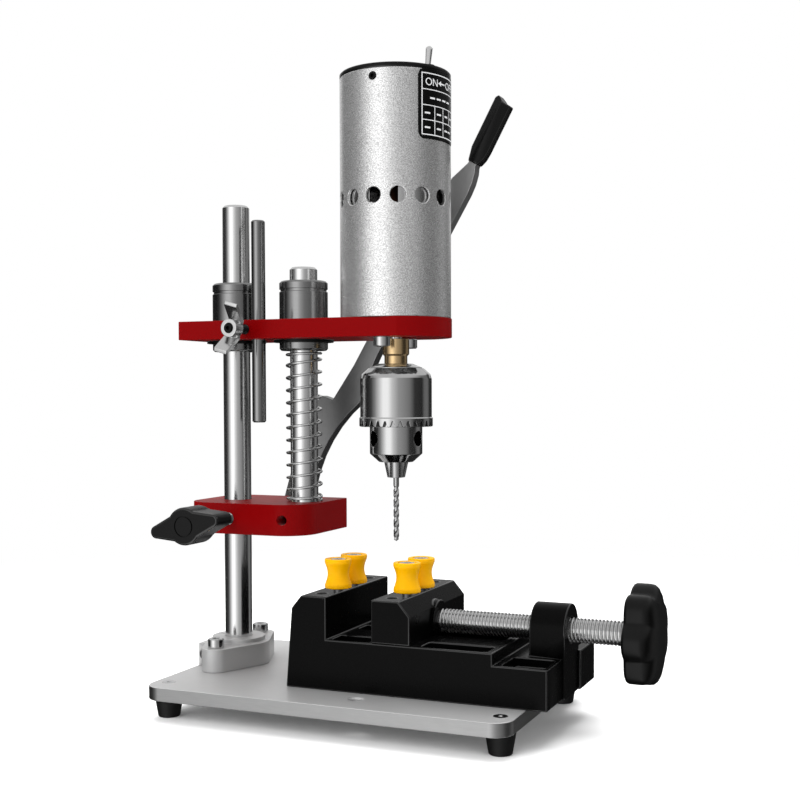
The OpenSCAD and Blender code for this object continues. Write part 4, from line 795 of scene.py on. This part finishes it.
class PRESS_OT_chuck(bpy.types.Operator):
    """Brass coupling, key chuck and drill bit"""

    bl_idname = "press.chuck"
    bl_label = "Chuck and drill bit"

    def execute(self, context):
        dress("brass_coupling", turned_brass, edge=0.2)
        self.paint_shade_in_key_holes(dress("chuck_body", turned_chrome, edge=0.2))
        self.paint_shade_in_tooth_gaps(dress("chuck_sleeve", turned_chrome, edge=0.12))
        paint("chuck_nut", tool_steel)
        for node in ("chuck_jaw_1", "chuck_jaw_2", "chuck_jaw_3"):
            dress(node, tool_steel, edge=0.12)
        self.drill_bit(context.scene.press_detail.flute_pitch)
        return {"FINISHED"}

    def drill_bit(self, pitch):
        """Spins the fluted section up to the shank and closes it to a point below."""
        low, high = low_of("drill_bit"), high_of("drill_bit")
        centre, r = middle("drill_bit"), radius_of("drill_bit")
        point, flute, overlap, tip_share = 0.7, 23.0, 0.4, 0.06
        flute_depth, flute_edge, hollow = 0.56, 0.1, 0.8
        land, relief = -0.55, 0.97
        bm = bmesh.new()
        section = bmesh.ops.create_circle(bm, cap_ends=True, radius=r, segments=28)["verts"]
        for v in section:
            across = math.cos(math.atan2(v.co.y, v.co.x) * 2)
            dip = max(0.0, across - flute_edge) / (1 - flute_edge)
            v.co *= (relief if across < land else 1.0) * (1 - flute_depth * dip ** hollow)
        bmesh.ops.translate(bm, verts=section, vec=(centre.x, centre.y, low.z + point))
        first = list(bm.faces)
        geom = list(bm.verts) + list(bm.edges) + first
        helix(bm, geom, (centre.x, centre.y, 0), (0, 0, 1), pitch, flute / pitch, 24)
        tip = bmesh.ops.extrude_face_region(bm, geom=first)
        for v in new_verts(tip):
            v.co = Vector((centre.x + (v.co.x - centre.x) * tip_share,
                           centre.y + (v.co.y - centre.y) * tip_share, low.z))
        shank_foot = low.z + point + flute - overlap
        shank = bmesh.ops.create_cone(bm, cap_ends=True, segments=40, radius1=r, radius2=r,
                                      depth=high.z - shank_foot)
        bmesh.ops.translate(bm, verts=shank["verts"],
                            vec=(centre.x, centre.y, (high.z + shank_foot) / 2))
        bmesh.ops.recalc_face_normals(bm, faces=bm.faces)
        finished(bm, "drill_bit_fluted", tool_steel, ["drill_bit"], smooth=50,
                 normals=False)

    def paint_shade_in_tooth_gaps(self, sleeve):
        """Paints the gaps between the key's teeth dark, as painted shade."""
        # The black oxide finish here is painted shade in the tooth gaps
        sleeve.data.materials.append(finish_for(black_oxide))
        centre, rim = middle("chuck_sleeve"), low_of("chuck_sleeve").z
        teeth_start, teeth_end, flank = rim + 0.2, rim + 3.2, 0.6
        for face in sleeve.data.polygons:
            place = face.center / MM
            out = Vector((place.x - centre.x, place.y - centre.y, 0)).normalized()
            if teeth_start < place.z < teeth_end and abs(face.normal.dot(out)) < flank:
                face.material_index = OTHER

    def paint_shade_in_key_holes(self, body):
        """Paints the key holes dark, as painted shade."""
        # The black oxide finish here is painted shade inside the key holes
        body.data.materials.append(finish_for(black_oxide))
        centre = middle("chuck_body")
        core, tooth_ring, outer_face = 3, 5.2, 0.95
        foot_band, in_sleeve = 4.5, 2
        wall = radius_of("chuck_sleeve") - tooth_ring
        foot = low_of("chuck_body").z + foot_band
        top = low_of("chuck_sleeve").z + in_sleeve
        for face in body.data.polygons:
            place = face.center / MM
            out = Vector((place.x - centre.x, place.y - centre.y, 0))
            away = abs(face.normal.dot(out.normalized())) if out.length else 0
            if core < out.length < wall and foot < place.z < top and away < outer_face:
                face.material_index = OTHER


class PRESS_OT_vise(bpy.types.Operator):
    """Vise castings, posts and their screws"""

    bl_idname = "press.vise"
    bl_label = "Vise"

    def execute(self, context):
        dress("vise_body", gloss_casting, edge=0.55, segments=3)
        dress("moving_jaw", gloss_casting, edge=0.5, segments=3)
        for node in ("fixed_posts", "moving_posts"):
            posts = dress(node, yellow_nylon, edge=0.5, segments=3)
            posts.visible_glossy = False
        for node in ("fixed_post_screws", "moving_post_screws"):
            dress(node, bright_steel, edge=0.25)
        dress("vise_bolts", bright_steel, edge=0.3)
        for node in ("jaw_keeper", "keeper_screw", "retaining_pins"):
            paint(node, bright_steel)
        return {"FINISHED"}


class PRESS_OT_lead_screw(bpy.types.Operator):
    """Lead screw with its thread, and the star knob"""

    bl_idname = "press.lead_screw"
    bl_label = "Lead screw and star knob"

    def execute(self, context):
        pitch = context.scene.press_detail.thread_pitch
        low, high = low_of("lead_screw"), high_of("lead_screw")
        pins_start, pins_end = low_of("retaining_pins").x, high_of("retaining_pins").x
        centre, r = middle("lead_screw"), (high.y - low.y) / 2
        depth_share, sunk, pin_gap = 0.55, 0.1, 0.15
        journal, journal_r, neck_r = 10.5, 3.5, 2.3
        root, seat = r - depth_share * pitch, low_of("star_knob").x
        journal_end, in_knob, knob_end_r = low.x + journal, seat + 0.5, r - 1.05
        bm = bmesh.new()
        # The journal has a neck that the two retaining pins stand in
        ends = (low.x, pins_start - pin_gap, pins_end + pin_gap, journal_end, in_knob, high.x)
        radii = (journal_r, neck_r, journal_r, root + 0.02, knob_end_r)
        for x0, x1, radius in zip(ends, ends[1:], radii):
            bar = bmesh.ops.create_cone(bm, cap_ends=True, segments=48, radius1=radius,
                                        radius2=radius, depth=x1 - x0)
            bmesh.ops.rotate(bm, verts=bar["verts"], cent=(0, 0, 0),
                             matrix=Matrix.Rotation(math.pi / 2, 3, "Y"))
            bmesh.ops.translate(bm, verts=bar["verts"],
                                vec=((x0 + x1) / 2, centre.y, centre.z))
        start, end = journal_end + 0.25, seat - 0.35
        # Share of the pitch and radius of the points up one flank of the thread
        flank = ((0.06, root - sunk), (0.3, r - 0.14), (0.42, r))
        profile = flank + tuple((1 - share, radius) for share, radius in reversed(flank))
        verts = [bm.verts.new((start + share * pitch, centre.y, centre.z + radius))
                 for share, radius in profile]
        face = bm.faces.new(verts)
        helix(bm, verts + list(face.edges) + [face], (0, centre.y, centre.z), (1, 0, 0),
              pitch, (end - start - pitch) / pitch, 24)
        bmesh.ops.recalc_face_normals(bm, faces=bm.faces)
        finished(bm, "lead_screw_thread", bright_steel, ["lead_screw"], smooth=45,
                 normals=False)
        self.star_knob()
        return {"FINISHED"}

    def star_knob(self):
        """Sweeps the knob's lobed outline from its face on the vise side to its crown."""
        low, centre = low_of("star_knob"), middle("star_knob")
        tip_r, valley, lobe_power, crown = 20.25, 0.155, 0.62, 0.93
        lobes, turn, points_per_lobe = 7, math.radians(12), 20
        # Height in millimetres, share of the reach, and how far the lobes have faded
        sections = ((0, 0.93, 0.0), (0.5, 0.975, 0.0), (1.5, 1.0, 0.0), (6.6, 1.0, 0.0),
                    (8.4, 0.985, 0.0), (9.8, 0.93, 0.05), (10.9, 0.83, 0.15),
                    (11.7, 0.68, 0.4), (12.2, 0.45, 0.75), (12.45, 0.2, 1.0))
        bm = bmesh.new()
        ring = bmesh.ops.create_circle(bm, radius=1, segments=lobes * points_per_lobe)["verts"]
        angles = {v: math.atan2(v.co.y, v.co.x) for v in ring}

        def place(verts, height, share, fade):
            for v in verts:
                wave = 0.5 + 0.5 * math.cos(lobes * (angles[v] + turn))
                reach = tip_r * (1 - valley * (1 - wave ** lobe_power))
                reach += (tip_r * crown - reach) * fade
                v.co = Vector((low.x + height,
                               centre.y - math.sin(angles[v]) * reach * share,
                               centre.z + math.cos(angles[v]) * reach * share))

        place(ring, *sections[0])
        bmesh.ops.holes_fill(bm, edges=bm.edges, sides=0)
        edges = list(bm.edges)
        for section in sections[1:]:
            grown = bmesh.ops.extrude_edge_only(bm, edges=edges)
            edges = [g for g in grown["geom"] if isinstance(g, bmesh.types.BMEdge)]
            fresh = new_verts(grown)
            for v in fresh:
                below = [e.other_vert(v) for e in v.link_edges if e not in edges]
                angles[v] = next(angles[other] for other in below if other in angles)
            place(fresh, *section)
        bmesh.ops.holes_fill(bm, edges=edges, sides=0)
        bmesh.ops.recalc_face_normals(bm, faces=bm.faces)
        finished(bm, "star_knob_moulding", moulded_black, ["star_knob"], smooth=60)


class PRESS_OT_stage(bpy.types.Operator):
    """Camera, floor, studio light and white background"""

    bl_idname = "press.stage"
    bl_label = "Stage"

    def execute(self, context):
        scene = context.scene
        stage = scene.press_stage
        camera = bpy.data.objects.new("camera", bpy.data.cameras.new("camera"))
        scene.collection.objects.link(camera)
        camera.data.sensor_width = 36
        camera.data.lens = stage.lens
        camera.data.shift_y = 0.05
        camera.data.clip_start, camera.data.clip_end = 0.01, 30
        # Fitted to the photograph's edges, in metres and degrees
        camera.location = (0.21926, -0.48214, 0.12619)
        down, roll, left = 2.181, 0.148, 23.028
        camera.rotation_euler = [math.radians(a) for a in (90 - down, roll, left)]
        scene.camera = camera
        scene.view_settings.view_transform = "Standard"
        self.floor(scene, stage)
        self.world(scene)
        aim = Vector((0, 0, 0.08))
        for name, spot, size, watts in (
                ("overhead_softbox", (-0.15, 0.35, 1.2), 1.1, stage.overhead),
                ("key_softbox", (-0.5, -1.0, 0.75), 0.7, stage.key)):
            light = bpy.data.objects.new(name, bpy.data.lights.new(name, "AREA"))
            light.data.energy = watts
            light.data.size = size
            light.location = spot
            light.rotation_euler = (aim - light.location).to_track_quat("-Z", "Y").to_euler()
            light.visible_glossy = False
            scene.collection.objects.link(light)
        return {"FINISHED"}

    def floor(self, scene, stage):
        """Pale paper under the press, which fades into the white around it."""
        floor_r, paper_ends, white_starts, gap = 6, 0.22, 0.55, 0.00002
        bm = bmesh.new()
        bmesh.ops.create_circle(bm, cap_ends=True, radius=floor_r, segments=96)
        mesh = bpy.data.meshes.new("studio_floor")
        bm.to_mesh(mesh)
        bm.free()
        mesh.transform(Matrix.Translation((0, 0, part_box("feet")[0].z - gap)))
        floor = bpy.data.objects.new("studio_floor", mesh)
        scene.collection.objects.link(floor)
        floor.visible_glossy = False
        material = bpy.data.materials.new("studio_floor")
        tree = emptied(material)
        coords = add(tree, "ShaderNodeTexCoord").outputs["Object"]
        far = add(tree, "ShaderNodeVectorMath", links={0: coords}, operation="LENGTH")
        fade = add(tree, "ShaderNodeMapRange",
                   {"From Min": paper_ends, "From Max": white_starts},
                   {"Value": far.outputs["Value"]}, interpolation_type="SMOOTHSTEP")
        paper = add(tree, "ShaderNodeBsdfDiffuse", {"Color": stage.floor})
        white = add(tree, "ShaderNodeEmission", {"Strength": 1.0, "Color": (1, 1, 1, 1)})
        clear = add(tree, "ShaderNodeBsdfTransparent")
        seen = add(tree, "ShaderNodeLightPath").outputs["Is Camera Ray"]
        outer = add(tree, "ShaderNodeMixShader", links={
            "Fac": seen, 1: clear.outputs[0], 2: white.outputs[0]})
        both = add(tree, "ShaderNodeMixShader", links={
            "Fac": fade.outputs["Result"], 1: paper.outputs[0], 2: outer.outputs[0]})
        add(tree, "ShaderNodeOutputMaterial", links={"Surface": both.outputs[0]})
        mesh.materials.append(material)

    def world(self, scene):
        """White to the eye; to reflections, a studio with softboxes and dark flags."""
        ramp_middle, to_screen = -66.8, (-0.415, 0.91, 0)
        world = bpy.data.worlds.new("studio")
        scene.world = world
        tree = emptied(world)
        way = add(tree, "ShaderNodeTexCoord").outputs["Generated"]
        parts = add(tree, "ShaderNodeSeparateXYZ", links={"Vector": way})
        turn = add(tree, "ShaderNodeMath", links={0: parts.outputs["Y"],
                   1: parts.outputs["X"]}, operation="ARCTAN2")
        share = add(tree, "ShaderNodeMath", {1: 1 / FULL_TURN, 2: 0.5 - ramp_middle / 360},
                    {0: turn.outputs[0]}, operation="MULTIPLY_ADD")
        wrapped = add(tree, "ShaderNodeMath", links={0: share.outputs[0]},
                      operation="FRACT")
        ramp = add(tree, "ShaderNodeValToRGB", links={"Fac": wrapped.outputs[0]})
        # Degrees round the press from the ramp's middle, and the brightness there
        bands = ((-180, 0.02), (-100, 0.03), (-86, 0.08), (-72, 0.35), (-56, 0.95),
                 (-42, 1.6), (-26, 1.6), (-12, 0.95), (8, 0.5), (44, 0.28), (62, 0.05),
                 (92, 0.03), (104, 0.2), (120, 0.22), (136, 0.03))
        stops = ramp.color_ramp.elements
        for i, (degrees, value) in enumerate(bands):
            place = degrees / 360 + 0.5
            stop = stops[i] if i < len(stops) else stops.new(place)
            stop.position = place
            stop.color = (value, value, value, 1)
        high = add(tree, "ShaderNodeMapRange", {"From Min": 0.3, "From Max": 0.5},
                   {"Value": parts.outputs["Z"]}, interpolation_type="SMOOTHSTEP")
        low = add(tree, "ShaderNodeMapRange", {"From Min": 0.06, "From Max": 0.16},
                  {"Value": parts.outputs["Z"]}, interpolation_type="SMOOTHSTEP")
        rear = add(tree, "ShaderNodeVectorMath", {1: to_screen}, {0: way},
                   operation="DOT_PRODUCT")
        screen = add(tree, "ShaderNodeMapRange", {"From Min": 0.7, "From Max": 0.9},
                     {"Value": rear.outputs["Value"]}, interpolation_type="SMOOTHSTEP")
        panel = add(tree, "ShaderNodeMath", links={0: low.outputs[0],
                    1: screen.outputs[0]}, operation="MULTIPLY")
        bright = add(tree, "ShaderNodeMath", links={0: high.outputs[0],
                     1: panel.outputs[0]}, operation="MAXIMUM")
        sky = add(tree, "ShaderNodeMix", {"B": (0.75, 0.75, 0.75, 1)},
                  {"Factor": bright.outputs[0], "A": ramp.outputs["Color"]},
                  data_type="RGBA")
        studio = add(tree, "ShaderNodeBackground", links={"Color": sky.outputs[2]})
        white = add(tree, "ShaderNodeBackground", {"Color": (1, 1, 1, 1)})
        mirrored = add(tree, "ShaderNodeLightPath").outputs["Is Glossy Ray"]
        both = add(tree, "ShaderNodeMixShader", links={
            "Fac": mirrored, 1: white.outputs[0], 2: studio.outputs[0]})
        add(tree, "ShaderNodeOutputWorld", links={"Surface": both.outputs[0]})


class PRESS_PT_panel(bpy.types.Panel):
    """Lists the steps that dress the drill press"""

    bl_idname = "PRESS_PT_panel"
    bl_label = "Drill press"
    bl_space_type = "VIEW_3D"
    bl_region_type = "UI"
    bl_category = "Drill press"

    def draw(self, context):
        for step in STEPS:
            self.layout.operator(step.bl_idname)
        for group_name in GROUPS:
            group = getattr(context.scene, group_name)
            for name in group.__annotations__:
                self.layout.prop(group, name)


STEPS = (PRESS_OT_stage, PRESS_OT_base, PRESS_OT_shafts, PRESS_OT_plates, PRESS_OT_bearings,
         PRESS_OT_spring, PRESS_OT_lever, PRESS_OT_knobs, PRESS_OT_motor, PRESS_OT_label,
         PRESS_OT_chuck, PRESS_OT_vise, PRESS_OT_lead_screw)
GROUPS = {"press_finish": PressFinish, "press_detail": PressDetail,
          "press_stage": PressStage}


def register():
    """Registers the classes and hangs the property groups on the scene."""
    for kind in (*GROUPS.values(), *STEPS, PRESS_PT_panel):
        bpy.utils.register_class(kind)
    for name, group in GROUPS.items():
        setattr(bpy.types.Scene, name, bpy.props.PointerProperty(type=group))


def unregister():
    """Takes the groups and the classes away again."""
    for name in GROUPS:
        delattr(bpy.types.Scene, name)
    for kind in reversed((*GROUPS.values(), *STEPS, PRESS_PT_panel)):
        bpy.utils.unregister_class(kind)


def main():
    """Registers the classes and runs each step."""
    register()
    for step in STEPS:
        group, name = step.bl_idname.split(".")
        getattr(getattr(bpy.ops, group), name)()
    bpy.context.view_layer.update()


if __name__ == "__main__":
    main()
